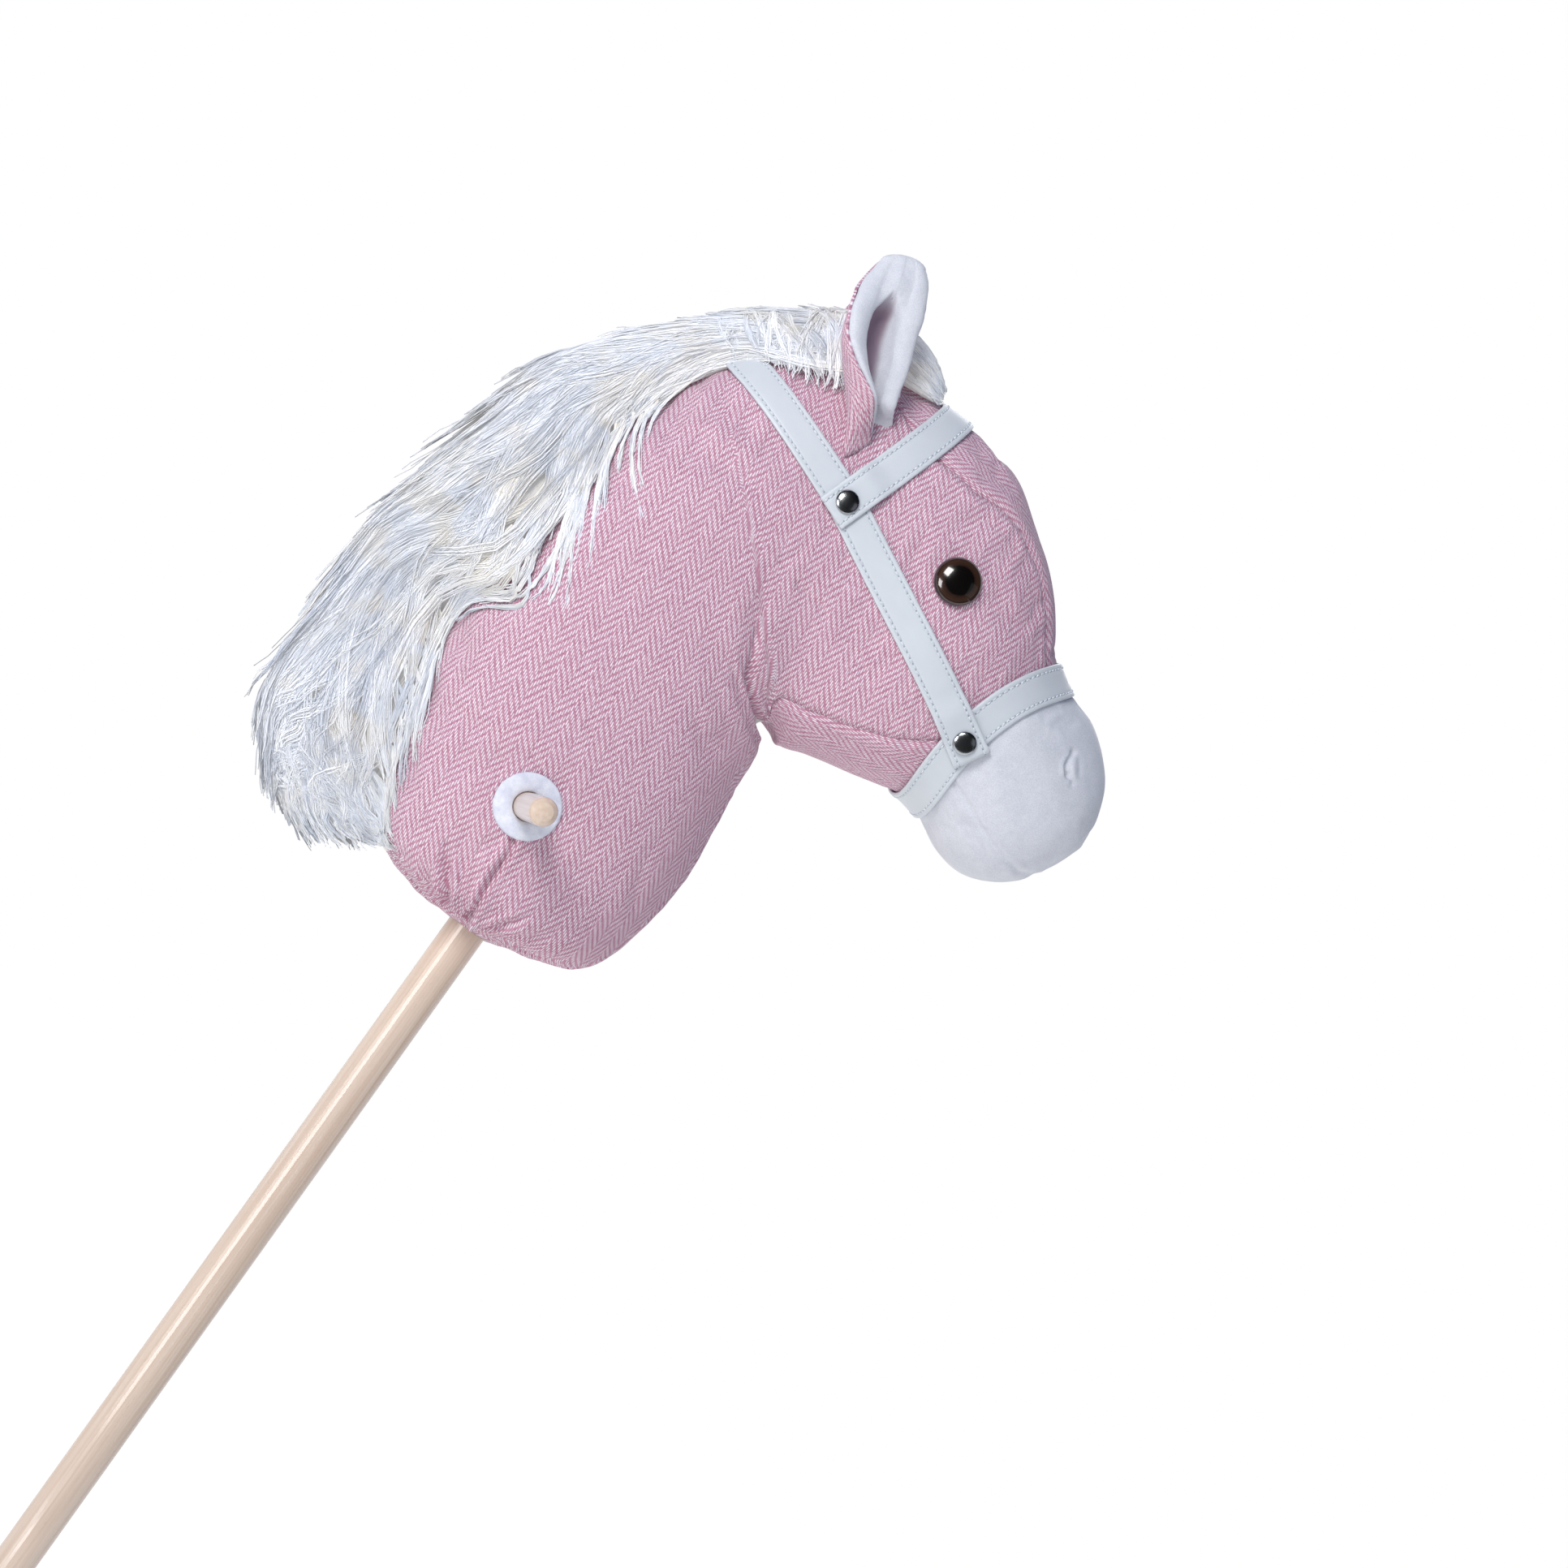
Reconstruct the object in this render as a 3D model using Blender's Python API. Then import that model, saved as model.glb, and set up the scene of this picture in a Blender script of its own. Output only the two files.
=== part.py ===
# Hobby horse: a stuffed horse head of woven cotton on a round wooden stick.
# Metres. The stick runs up +Z from the middle of its foot, the horse looks
# along +X, and its right side faces -Y. The XZ plane is its plane of symmetry.

import math

import bmesh
import bpy
from mathutils import Matrix, Vector
from mathutils.bvhtree import BVHTree

# Driving dimensions

FIT = 0.0003                    # gap between two pieces that touch
STICK_LENGTH = 0.800
STICK_DIAMETER = 0.022
STICK_IN_HEAD = 0.215           # length of stick inside the stuffed head
HANDLE_DIAMETER = 0.0152
HANDLE_LENGTH = 0.260
HANDLE_HEIGHT = 0.070           # above the neck's lower end
SADDLE_DEPTH = 0.0009           # the handle's seat in the back of the stick
SCREW_LENGTH = 0.030
SCREW_DIAMETER = 0.004
SCREW_HEAD_DIAMETER = 0.0075
SCREW_HEAD_HEIGHT = 0.0024
SCREW_RECESS = 0.0012           # the screw head lies so deep in the round handle
WASHER_DIAMETER = 0.036
FELT = 0.0026
CLOTH = 0.0012
HEM_LENGTH = 0.020
TIE = 0.0014
TIE_WIDTH = 0.0046
STRAP_WIDTH = 0.020
STRAP = 0.0018
RIVET_DIAMETER = 0.013
RIVET_HEIGHT = 0.0029
RIVET_POST_DIAMETER = 0.0032
RIVET_BACK = 0.0012
RIVET_BACK_DIAMETER = 0.0084
EYE_DIAMETER = 0.0262
EYE_HEIGHT = 0.0075
EYE_RIM = 0.0014                # height of the upright edge under the dome
EYE_POST_DIAMETER = 0.006
EYE_POST_LENGTH = 0.014
EYE_LOCK = 0.0016
EYE_LOCK_DIAMETER = 0.019
INNER_SEAT = 0.0015             # locks and rivet backs lie so far inside the cloth
EAR_LENGTH = 0.105
EAR_CLOTH = 0.0016
EAR_LINING = 0.0024
EAR_ROOT_RADIUS = 0.0045
EAR_ROOT_LENGTH = 0.015
NOSTRIL_LENGTH = 0.0112
NOSTRIL_WIDTH = 0.0088
NOSTRIL_ROLL_RADIUS = 0.0015
TAPE = 0.001
FILLING_GAP = 0.0023            # the fibre stays so far inside the faceted cloth

NECK_END = STICK_LENGTH - STICK_IN_HEAD
STICK_RADIUS = STICK_DIAMETER / 2
HANDLE_RADIUS = HANDLE_DIAMETER / 2
HANDLE_X = -(STICK_RADIUS + HANDLE_RADIUS + FIT - SADDLE_DEPTH)
HANDLE_Z = NECK_END + HANDLE_HEIGHT
HEM_RADIUS = STICK_RADIUS + FIT

# Places on the right side of the head, as millimetres in front of the
# stick's axis and above the neck's lower end

EYE_AT = (98, 298)
UPPER_RIVET_AT = (26, 297)
LOWER_RIVET_AT = (151, 233)
POLL_STRAP_AT = (-60, 331)
BROW_STRAP_AT = (54, 375)
NOSTRIL_AT = (206, 254)
EAR_ROOT_AT = (19, 333)
EAR_TIP_AT = (-21, 427)
EAR_TIP_SIDE = 0.034            # distance of the ear's tip from the middle plane
EAR_FACES = (0.30, -0.95, 0.10) # direction into which the right ear opens

# The stuffed head's sections, from the neck's lower end to the nose. Each row
# is the throat point x, z and the crest point x, z in millimetres, the half
# width, how far the section's sides lie back, and the section's squareness.
SECTIONS = [
    (12.5, 0.5, -12.5, 0.5, 12.5, 0, 2.0),
    (32, 7, -33, 3, 27, 0, 2.0),
    (53, 14, -56, 9, 40, 0, 2.1),
    (67, 28, -70, 20, 48, 0, 2.2),
    (75.5, 56, -84, 50, 54, 0, 2.2),
    (79, 88, -96, 88, 57, 0, 2.2),
    (76.5, 116, -103, 128, 58.5, 0, 2.2),
    (73.5, 140, -106, 170, 59.5, 0, 2.2),
    (72.5, 156, -104, 212, 60, 0, 2.2),
    (69.5, 169, -94, 255, 59, 0, 2.2),
    (67.5, 176, -76, 300, 57, 0, 2.15),
    (69, 178, -48, 340, 53.5, 0, 2.1),
    (73.5, 177, -8, 366, 51.5, 0, 2.1),
    (80, 176.5, 35, 375, 52.5, 0, 2.15),
    (92, 180.5, 78, 374, 55.5, 0, 2.3),
    (107, 185, 106, 367, 57.5, 1, 2.4),
    (122, 188.5, 131, 348.5, 57.5, 4, 2.4),
    (135, 192, 153, 327, 55.5, 9, 2.35),
    (146, 194.3, 171, 305, 53, 14, 2.3),
    (155, 193.8, 184, 295, 51.5, 16, 2.25),
    (167, 190.5, 196, 289.5, 50.5, 14, 2.2),
    (184, 182.5, 209.5, 283.5, 48.5, 10, 2.2),
    (202, 180.5, 222, 274, 45, 6, 2.15),
    (219, 188, 232.5, 261, 38.5, 3, 2.1),
    (233, 204, 239.5, 243, 27, 1, 2.0),
    (240, 219, 241.7, 231, 12, 0, 2.0),
]
THROAT = 10                     # the section where neck and head meet
NOSEBAND = 19                   # the section under the noseband's middle
MUZZLE_SEAM = 19.4
NOSE = len(SECTIONS) - 1

# Half widths in millimetres of the two middle strips of cloth, at sections
FOREHEAD_STRIP = [(12.0, 0), (12.5, 26), (13, 38), (14, 44), (15, 43), (16, 38), (17, 34), (19.4, 30)]
JAW_STRIP = [(11, 0), (12, 14), (13, 23), (15, 27), (17, 27), (19.4, 25)]

# Small tools for meshes, materials and cuts

for old in list(bpy.data.objects):
    bpy.data.objects.remove(old, do_unlink=True)


def srgb(code):
    """Turns a hex colour into linear red, green, blue and alpha."""
    channels = []
    for start in (0, 2, 4):
        value = int(code[start:start + 2], 16) / 255
        linear = value / 12.92 if value <= 0.04045 else ((value + 0.055) / 1.055) ** 2.4
        channels.append(linear)
    return (*channels, 1.0)


def material(name, code, roughness, metallic=0.0):
    """Makes a plain material, or returns the one of that name."""
    found = bpy.data.materials.get(name)
    if found:
        return found
    made = bpy.data.materials.new(name)
    made.use_nodes = True
    surface = made.node_tree.nodes["Principled BSDF"]
    surface.inputs["Base Color"].default_value = srgb(code)
    surface.inputs["Roughness"].default_value = roughness
    surface.inputs["Metallic"].default_value = metallic
    made.diffuse_color = srgb(code)
    return made


def wood():
    return material("birch", "E2CBAE", 0.4)


def weave():
    return material("pink_herringbone_cotton", "DDA9B9", 0.85)


def velour():
    return material("white_velour", "E6E7EA", 0.95)


def fibre():
    return material("polyester_fibre", "F4F4F2", 1.0)


def strap_leather():
    return material("white_artificial_leather", "E9ECEE", 0.5)


def steel():
    return material("polished_steel", "B9BDC2", 0.18, 1.0)


def screw_steel():
    return material("zinc_plated_steel", "A9ACAF", 0.35, 1.0)


def felt():
    return material("white_felt", "E7E9F2", 0.95)


def eye_plastic():
    return material("brown_black_eye_plastic", "2A1A14", 0.08)


def nylon():
    return material("clear_nylon", "DADAD6", 0.45)


def yarn():
    return material("cream_yarn", "EFEAE0", 0.9)


def add_object(name, bm, look, smooth_angle=35):
    """Makes an object of a closed bmesh, with its faces turned outwards."""
    bmesh.ops.recalc_face_normals(bm, faces=bm.faces)
    mesh = bpy.data.meshes.new(name)
    bm.to_mesh(mesh)
    bm.free()
    mesh.materials.append(look)
    mesh.shade_smooth()
    mesh.set_sharp_from_angle(angle=math.radians(smooth_angle))
    made = bpy.data.objects.new(name, mesh)
    bpy.context.scene.collection.objects.link(made)
    return made


def add_cutter(name, bm):
    """Makes an object that only cuts others."""
    made = add_object(name, bm, material("cutter", "808080", 0.5))
    made.hide_render = True
    made.display_type = "WIRE"
    return made


def set_origin(made, point):
    """Puts an object's origin on a point, with its mesh where it was."""
    made.data.transform(Matrix.Translation(-point))
    made.location = point


def boolean(target, other, operation="DIFFERENCE"):
    """Cuts a target by another object, or joins that object to it."""
    cut = target.modifiers.new(other.name, "BOOLEAN")
    cut.operation = operation
    cut.solver = "EXACT"
    cut.object = other


def fan(bm, ring, point):
    """Closes a ring of vertices over a point."""
    middle = bm.verts.new(point)
    for near, far in zip(ring, ring[1:] + ring[:1]):
        bm.faces.new((near, far, middle))


def sheet_solid(rows_out, rows_in, ring=False, loop=False, tips=None):
    """A closed sheet between two grids of points. With ring each row closes
    on itself, with loop the last row joins the first, and with tips the last
    row of each grid closes over a point of its own."""
    bm = bmesh.new()
    outer = [[bm.verts.new(point) for point in row] for row in rows_out]
    inner = [[bm.verts.new(point) for point in row] for row in rows_in]
    rows, columns = len(outer), len(outer[0])
    row_steps = rows if loop else rows - 1
    column_steps = columns if ring else columns - 1
    for i in range(row_steps):
        k = (i + 1) % rows
        for j in range(column_steps):
            m = (j + 1) % columns
            bm.faces.new((outer[i][j], outer[i][m], outer[k][m], outer[k][j]))
            bm.faces.new((inner[i][j], inner[k][j], inner[k][m], inner[i][m]))
    if tips:
        fan(bm, outer[-1], tips[0])
        fan(bm, inner[-1], tips[1])
    if not loop:
        for i in (0,) if tips else (0, rows - 1):
            for j in range(column_steps):
                m = (j + 1) % columns
                bm.faces.new((outer[i][j], outer[i][m], inner[i][m], inner[i][j]))
    if not ring:
        for j in (0, columns - 1):
            for i in range(row_steps):
                k = (i + 1) % rows
                bm.faces.new((outer[i][j], outer[k][j], inner[k][j], inner[i][j]))
    return bm


def lump_solid(rows):
    """A closed lump through rings of points, with a fan over each end."""
    bm = bmesh.new()
    rings = [[bm.verts.new(point) for point in row] for row in rows]
    count = len(rings[0])
    for near, far in zip(rings, rings[1:]):
        for j in range(count):
            m = (j + 1) % count
            bm.faces.new((near[j], near[m], far[m], far[j]))
    for ring in (rings[0], rings[-1]):
        fan(bm, ring, sum((vert.co for vert in ring), Vector()) / count)
    return bm


def turned(profile, placing, sides=32):
    """Turns a profile of radius and height pairs about Z, then places it. A
    radius of zero is a point on the axis, and a profile with none is a ring."""
    bm = bmesh.new()
    rings = []
    for radius, height in profile:
        if radius == 0:
            rings.append([bm.verts.new(placing @ Vector((0, 0, height)))])
            continue
        ring = []
        for step in range(sides):
            angle = math.tau * step / sides
            spot = Vector((radius * math.cos(angle), radius * math.sin(angle), height))
            ring.append(bm.verts.new(placing @ spot))
        rings.append(ring)
    pairs = list(zip(rings, rings[1:]))
    if len(rings[0]) > 1:
        pairs.append((rings[-1], rings[0]))
    for low, high in pairs:
        for step in range(sides):
            following = (step + 1) % sides
            corners = [low[step % len(low)], low[following % len(low)]]
            corners += [high[following % len(high)], high[step % len(high)]]
            unique = []
            for corner in corners:
                if corner not in unique:
                    unique.append(corner)
            if len(unique) > 2:
                bm.faces.new(unique)
    return bm


def rod_profile(radius, start, end, bevel, steps=3):
    """Outline of a rod for turned(), with rounded ends where steps isn't 0."""
    if steps == 0:
        return [(0, start), (radius, start), (radius, end), (0, end)]
    points = [(0, start)]
    for step in range(steps + 1):
        angle = math.pi / 2 * step / steps
        points.append((radius - bevel + bevel * math.sin(angle), start + bevel - bevel * math.cos(angle)))
    for step in range(steps + 1):
        angle = math.pi / 2 * step / steps
        points.append((radius - bevel + bevel * math.cos(angle), end - bevel + bevel * math.sin(angle)))
    points.append((0, end))
    return points


def ring_profile(inner, outer, low, high):
    """Outline of a flat ring, for turned()."""
    return [(inner, low), (outer, low), (outer, high), (inner, high)]


def frame_at(origin, axis, hint=Vector((1, 0, 0))):
    """Placing whose Z axis points along a given axis."""
    z = axis.normalized()
    x = (hint - hint.dot(z) * z).normalized()
    y = z.cross(x)
    turn = Matrix((x, y, z)).transposed()
    return Matrix.Translation(origin) @ turn.to_4x4()


def mirrored(bm):
    """The same bmesh on the other side of the horse."""
    bmesh.ops.scale(bm, vec=(1, -1, 1), verts=bm.verts)
    return bm


# The stuffed head's surface

def between(values, position):
    """Smooth value between the rows of a table."""
    last = len(values) - 1
    position = min(max(position, 0.0), float(last))
    i = min(int(position), last - 1)
    f = position - i
    before = values[max(i - 1, 0)]
    start = values[i]
    end = values[i + 1]
    after = values[min(i + 2, last)]
    blended = []
    for a, b, c, d in zip(before, start, end, after):
        bend = (2 * a - 5 * b + 4 * c - d) * f * f + (3 * b - a - 3 * c + d) * f ** 3
        blended.append(0.5 * (2 * b + (c - a) * f + bend))
    return blended


def along(keys, position):
    """Straight-line value between key pairs."""
    if position <= keys[0][0]:
        return keys[0][1]
    for (start, low), (end, high) in zip(keys, keys[1:]):
        if position <= end:
            return low + (high - low) * (position - start) / (end - start)
    return keys[-1][1]


def on_plane(x, z):
    """A point of the middle plane, from millimetres to metres."""
    return Vector((x / 1000, 0, NECK_END + z / 1000))


def bare_skin(section, angle):
    """Point of the surface. The angle is 0 on the crest and pi under the
    throat, by way of the horse's right side."""
    under_x, under_z, top_x, top_z, half_width, back, square = between(SECTIONS, section)
    under = on_plane(under_x, under_z)
    top = on_plane(top_x, top_z)
    middle = (under + top) / 2
    up = (top - under) / 2
    forward = Vector((up.z, 0, -up.x)).normalized()
    cosine, sine = math.cos(angle), math.sin(angle)
    rise = math.copysign(abs(cosine) ** (2 / square), cosine)
    reach = math.copysign(abs(sine) ** (2 / square), sine)
    sideways = Vector((0, -half_width / 1000 * reach, 0))
    return middle + up * rise + sideways - forward * (back / 1000) * sine * sine


def skin(section, angle, lift=0.0):
    """Point at a height over the surface, or under it where lift is negative."""
    spot = bare_skin(section, angle)
    if lift == 0.0:
        return spot
    step = 0.02
    ahead = bare_skin(min(section + step, NOSE), angle) - bare_skin(max(section - step, 0), angle)
    around = bare_skin(section, angle + step) - bare_skin(section, angle - step)
    normal = around.cross(ahead).normalized()
    return spot + normal * lift


def angle_for(section, half_width):
    """Angle from the crest at which the surface is so far from the middle plane."""
    values = between(SECTIONS, section)
    share = min(half_width / values[4], 1.0)
    return math.asin(share ** (values[6] / 2))


def fine_surface():
    """Search tree of the whole surface, for pieces that lie on it."""
    steps, columns = 5, 120
    rows = []
    for i in range(NOSE * steps + 1):
        rows.append([bare_skin(i / steps, math.tau * j / columns) for j in range(columns)])
    points = [point for row in rows for point in row]
    faces = []
    for i in range(len(rows) - 1):
        for j in range(columns):
            m = (j + 1) % columns
            faces.append((i * columns + j, i * columns + m, (i + 1) * columns + m, (i + 1) * columns + j))
    return BVHTree.FromPolygons(points, faces)


SURFACE = fine_surface()


def nearest(spot):
    """Nearest point of the surface and its outward normal."""
    return SURFACE.find_nearest(spot)[:2]


def side_spot(x, z):
    """Point on the horse's right side, from millimetres."""
    start = on_plane(x, z) + Vector((0, -0.2, 0))
    return SURFACE.ray_cast(start, Vector((0, 1, 0)))[:2]


# Stick and handle

def make_stick():
    """A wooden dowel with a saddle in its back for the handle, which a wood
    screw pulls into it."""
    upright = Matrix.Identity(4)
    stick = add_object("stick", turned(rod_profile(STICK_RADIUS, 0, STICK_LENGTH, 0.0015, 2), upright, 40), wood())
    across = frame_at(Vector((HANDLE_X, 0, HANDLE_Z)), Vector((0, 1, 0)))
    half = HANDLE_LENGTH / 2
    handle = add_object("handle", turned(rod_profile(HANDLE_RADIUS, -half, half, 0.0055), across, 28), wood())
    seat = turned(rod_profile(HANDLE_RADIUS + FIT, -STICK_DIAMETER, STICK_DIAMETER, 0, 0), across, 56)
    boolean(stick, add_cutter("cut_saddle", seat))

    head_radius = SCREW_HEAD_DIAMETER / 2
    radius = SCREW_DIAMETER / 2
    edge = 0.0004
    start = Vector((HANDLE_X - HANDLE_RADIUS + SCREW_RECESS, 0, HANDLE_Z))
    forward = frame_at(start, Vector((1, 0, 0)), Vector((0, 0, 1)))
    outline = [(0, 0), (head_radius, 0), (head_radius, edge), (radius, SCREW_HEAD_HEIGHT)]
    outline += [(radius, SCREW_LENGTH - 3 * radius), (0.3 * radius, SCREW_LENGTH), (0, SCREW_LENGTH)]
    screw = add_object("handle_screw", turned(outline, forward, 20), screw_steel())
    mouth = -2 * SCREW_RECESS
    hole = [(0, mouth), (head_radius + FIT, mouth), (head_radius + FIT, edge + FIT)]
    hole += [(radius + FIT, SCREW_HEAD_HEIGHT + FIT), (radius + FIT, SCREW_LENGTH + FIT), (0, SCREW_LENGTH + FIT)]
    drill = add_cutter("cut_screw_hole", turned(hole, forward, 24))
    boolean(stick, drill)
    boolean(handle, drill)
    slot = bmesh.new()
    bmesh.ops.create_cube(slot, size=1)
    bmesh.ops.scale(slot, vec=(SCREW_HEAD_HEIGHT, 1.2 * SCREW_HEAD_DIAMETER, radius / 2), verts=slot.verts)
    bmesh.ops.translate(slot, vec=start, verts=slot.verts)
    boolean(screw, add_cutter("cut_screw_slot", slot))
    return stick, handle


# Cloth cover and stuffing

SIDE_ROWS = [MUZZLE_SEAM, 19, 18, 17] + [16 - i / 2 for i in range(12)] + [10, 9, 8, 7, 6, 5, 4, 3, 2, 1, 0.4]
SIDE_COLUMNS = 12
EDGE = FIT / 2


def panel_row(section, lift):
    """One row of the side panel, from its crest seam to its throat seam."""
    top = angle_for(section, along(FOREHEAD_STRIP, section) + EDGE * 1000)
    low = math.pi - angle_for(section, along(JAW_STRIP, section) + EDGE * 1000)
    row = []
    for j in range(SIDE_COLUMNS + 1):
        row.append(skin(section, top + (low - top) * j / SIDE_COLUMNS, lift))
        row[-1].y = min(row[-1].y, -EDGE)
    return row


def hem_row(radius, height):
    """One row of the hem, a half circle round the stick."""
    row = []
    for j in range(SIDE_COLUMNS + 1):
        angle = math.pi * j / SIDE_COLUMNS
        spot = Vector((-radius * math.cos(angle), -radius * math.sin(angle), NECK_END + height))
        spot.y = min(spot.y, -EDGE)
        row.append(spot)
    return row


def side_panel():
    """The right side panel: one piece of cloth from the noseband to the hem
    that is turned up inside the neck, round the stick."""
    rows_out = [panel_row(section, 0) for section in SIDE_ROWS]
    rows_in = [panel_row(section, -CLOTH) for section in SIDE_ROWS]
    rows_out += [hem_row(HEM_RADIUS + 0.0004, 0.0006), hem_row(HEM_RADIUS, 0.002), hem_row(HEM_RADIUS, HEM_LENGTH)]
    outside = HEM_RADIUS + CLOTH
    rows_in += [hem_row(outside + 0.0003, 0.0042), hem_row(outside, 0.006), hem_row(outside, HEM_LENGTH)]
    return sheet_solid(rows_out, rows_in)


def middle_strip(keys, start, columns, under):
    """A strip of cloth between the two side panels, pointed at its start."""
    sections = [start] + [section for section in reversed(SIDE_ROWS) if section > start]
    rows_out, rows_in = [], []
    for section in sections:
        reach = angle_for(section, along(keys, section) - EDGE * 1000)
        centre = math.pi if under else 0.0
        angles = [centre - reach + 2 * reach * j / columns for j in range(columns + 1)]
        rows_out.append([skin(section, angle) for angle in angles])
        rows_in.append([skin(section, angle, -CLOTH) for angle in angles])
    return sheet_solid(rows_out, rows_in)


def muzzle_cup():
    """The muzzle's velour, a cup that closes over the nose."""
    sides = 26
    sections = [MUZZLE_SEAM + 0.04, 20, 21, 22, 22.7, 23.3, 23.9, 24.5, NOSE]
    angles = [math.tau * j / sides for j in range(sides)]
    layers, tips = [], []
    for lift in (0.0, -CLOTH):
        layers.append([[skin(section, angle, lift) for angle in angles] for section in sections])
        end = sum(layers[-1][-1], Vector()) / sides
        tips.append(end + Vector((0.0009, 0, 0)))
    return sheet_solid(layers[0], layers[1], ring=True, tips=tips)


def stuffing(sections, sides=20):
    """A lump of fibre that fills the cover between two sections."""
    rows = []
    for section in sections:
        rows.append([skin(section, math.tau * j / sides, -CLOTH - FILLING_GAP) for j in range(sides)])
    return lump_solid(rows)


def make_head():
    """Covers and stuffing of neck, head and muzzle."""
    covers = {}
    covers["side_panel_right"] = add_object("side_panel_right", side_panel(), weave(), 50)
    covers["side_panel_left"] = add_object("side_panel_left", mirrored(side_panel()), weave(), 50)
    forehead = middle_strip(FOREHEAD_STRIP, 12.12, 6, False)
    covers["forehead_strip"] = add_object("forehead_strip", forehead, weave(), 50)
    jaw = middle_strip(JAW_STRIP, 11.25, 4, True)
    covers["jaw_strip"] = add_object("jaw_strip", jaw, weave(), 50)
    covers["muzzle_cover"] = add_object("muzzle_cover", muzzle_cup(), velour(), 50)

    gap = 0.012
    lumps = {}
    neck = stuffing([0.4, 1, 2, 3, 4, 5, 6, 7, 8, 9, THROAT - gap])
    lumps["neck_stuffing"] = add_object("neck_stuffing", neck, fibre(), 50)
    head = stuffing([THROAT + gap, 11, 12, 13, 14, 15, 16, 17, 18, 19, MUZZLE_SEAM - gap])
    lumps["head_stuffing"] = add_object("head_stuffing", head, fibre(), 50)
    muzzle = stuffing([MUZZLE_SEAM + gap, 20, 21, 22, 23, 24, 24.6])
    lumps["muzzle_stuffing"] = add_object("muzzle_stuffing", muzzle, fibre(), 50)

    upright = Matrix.Translation((0, 0, NECK_END))
    bore = turned(rod_profile(STICK_RADIUS + 2 * FIT, -HEM_LENGTH, STICK_IN_HEAD + FIT, 0, 0), upright, 24)
    boolean(lumps["neck_stuffing"], add_cutter("cut_stick_bore", bore))
    pocket = HEM_RADIUS + CLOTH + TIE + 3 * FIT
    clearance = turned(rod_profile(pocket, -HEM_LENGTH, HEM_LENGTH + FIT, 0, 0), upright, 32)
    boolean(lumps["neck_stuffing"], add_cutter("cut_hem_pocket", clearance))
    return covers, lumps


def make_neck_tie():
    """The cable tie that holds the turned-up hem on the stick, inside."""
    upright = Matrix.Translation((0, 0, NECK_END))
    inner = HEM_RADIUS + CLOTH + FIT
    low = HEM_LENGTH * 0.6 - TIE_WIDTH / 2
    band = turned(ring_profile(inner, inner + TIE, low, low + TIE_WIDTH), upright, 32)
    return add_object("neck_tie", band, nylon())


def handle_holes(covers, lumps):
    """The handle's way through stuffing and cloth."""
    across = frame_at(Vector((HANDLE_X, 0, HANDLE_Z)), Vector((0, 1, 0)))
    hole = turned(rod_profile(HANDLE_RADIUS + FIT, -HANDLE_LENGTH / 2, HANDLE_LENGTH / 2, 0, 0), across, 28)
    cutter = add_cutter("cut_handle_hole", hole)
    for name in ("side_panel_right", "side_panel_left"):
        boolean(covers[name], cutter)
    boolean(lumps["neck_stuffing"], cutter)


def felt_washer():
    """A round of felt that lies on the cloth round the handle."""
    inner = HANDLE_RADIUS + FIT
    outer = WASHER_DIAMETER / 2
    rows_out, rows_in = [], []
    sides = 28
    for radius in (inner, (inner + outer) / 2, outer):
        row_out, row_in = [], []
        for step in range(sides):
            angle = math.tau * step / sides
            x = HANDLE_X + radius * math.cos(angle)
            z = HANDLE_Z + radius * math.sin(angle)
            start = Vector((x, -0.2, z))
            spot, _, _, _ = SURFACE.ray_cast(start, Vector((0, 1, 0)))
            row_in.append(spot - Vector((0, 1.2 * FIT, 0)))
            row_out.append(spot - Vector((0, 1.2 * FIT + FELT, 0)))
        rows_out.append(row_out)
        rows_in.append(row_in)
    return sheet_solid(rows_out, rows_in, ring=True)


# Eyes

def make_eyes(covers, lumps):
    """Domed plastic eyes whose posts go through the cloth to a lock inside."""
    spot, normal = side_spot(*EYE_AT)
    radius = EYE_DIAMETER / 2
    post = EYE_POST_DIAMETER / 2
    placing = frame_at(spot + normal * FIT, normal)
    bevel = 0.0006
    dome = [(0, -EYE_POST_LENGTH), (post - bevel, -EYE_POST_LENGTH), (post, bevel - EYE_POST_LENGTH)]
    dome += [(post, 0), (radius - bevel, 0), (radius, bevel)]
    steps = 5
    for step in range(steps):
        angle = math.pi / 2 * step / steps
        dome.append((radius * math.cos(angle), EYE_RIM + (EYE_HEIGHT - EYE_RIM) * math.sin(angle)))
    dome.append((0, EYE_HEIGHT))
    lock_top = -CLOTH - INNER_SEAT
    lock_end = lock_top - EYE_LOCK
    lock_radius = EYE_LOCK_DIAMETER / 2
    lock = ring_profile(post + FIT, lock_radius, lock_end, lock_top)
    hole = rod_profile(post + FIT, -2 * EYE_POST_LENGTH, EYE_HEIGHT, 0, 0)
    pocket = rod_profile(lock_radius + FIT, lock_end - FIT, EYE_HEIGHT, 0, 0)
    deep = rod_profile(post + 2 * FIT, -EYE_POST_LENGTH - FIT, EYE_HEIGHT, 0, 0)
    for side, flip in (("right", 1), ("left", -1)):
        pieces = {}
        for name, outline in (("dome", dome), ("lock", lock), ("hole", hole), ("pocket", pocket), ("deep", deep)):
            pieces[name] = turned(outline, placing, 28 if name == "dome" else 16)
            if flip < 0:
                mirrored(pieces[name])
        add_object("eye_" + side, pieces["dome"], eye_plastic(), 50)
        add_object("eye_lock_" + side, pieces["lock"], nylon())
        boolean(covers["side_panel_" + side], add_cutter("cut_eye_hole_" + side, pieces["hole"]))
        boolean(lumps["head_stuffing"], add_cutter("cut_eye_pocket_" + side, pieces["pocket"]))
        boolean(lumps["head_stuffing"], add_cutter("cut_eye_post_" + side, pieces["deep"]))


# Bridle

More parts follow.
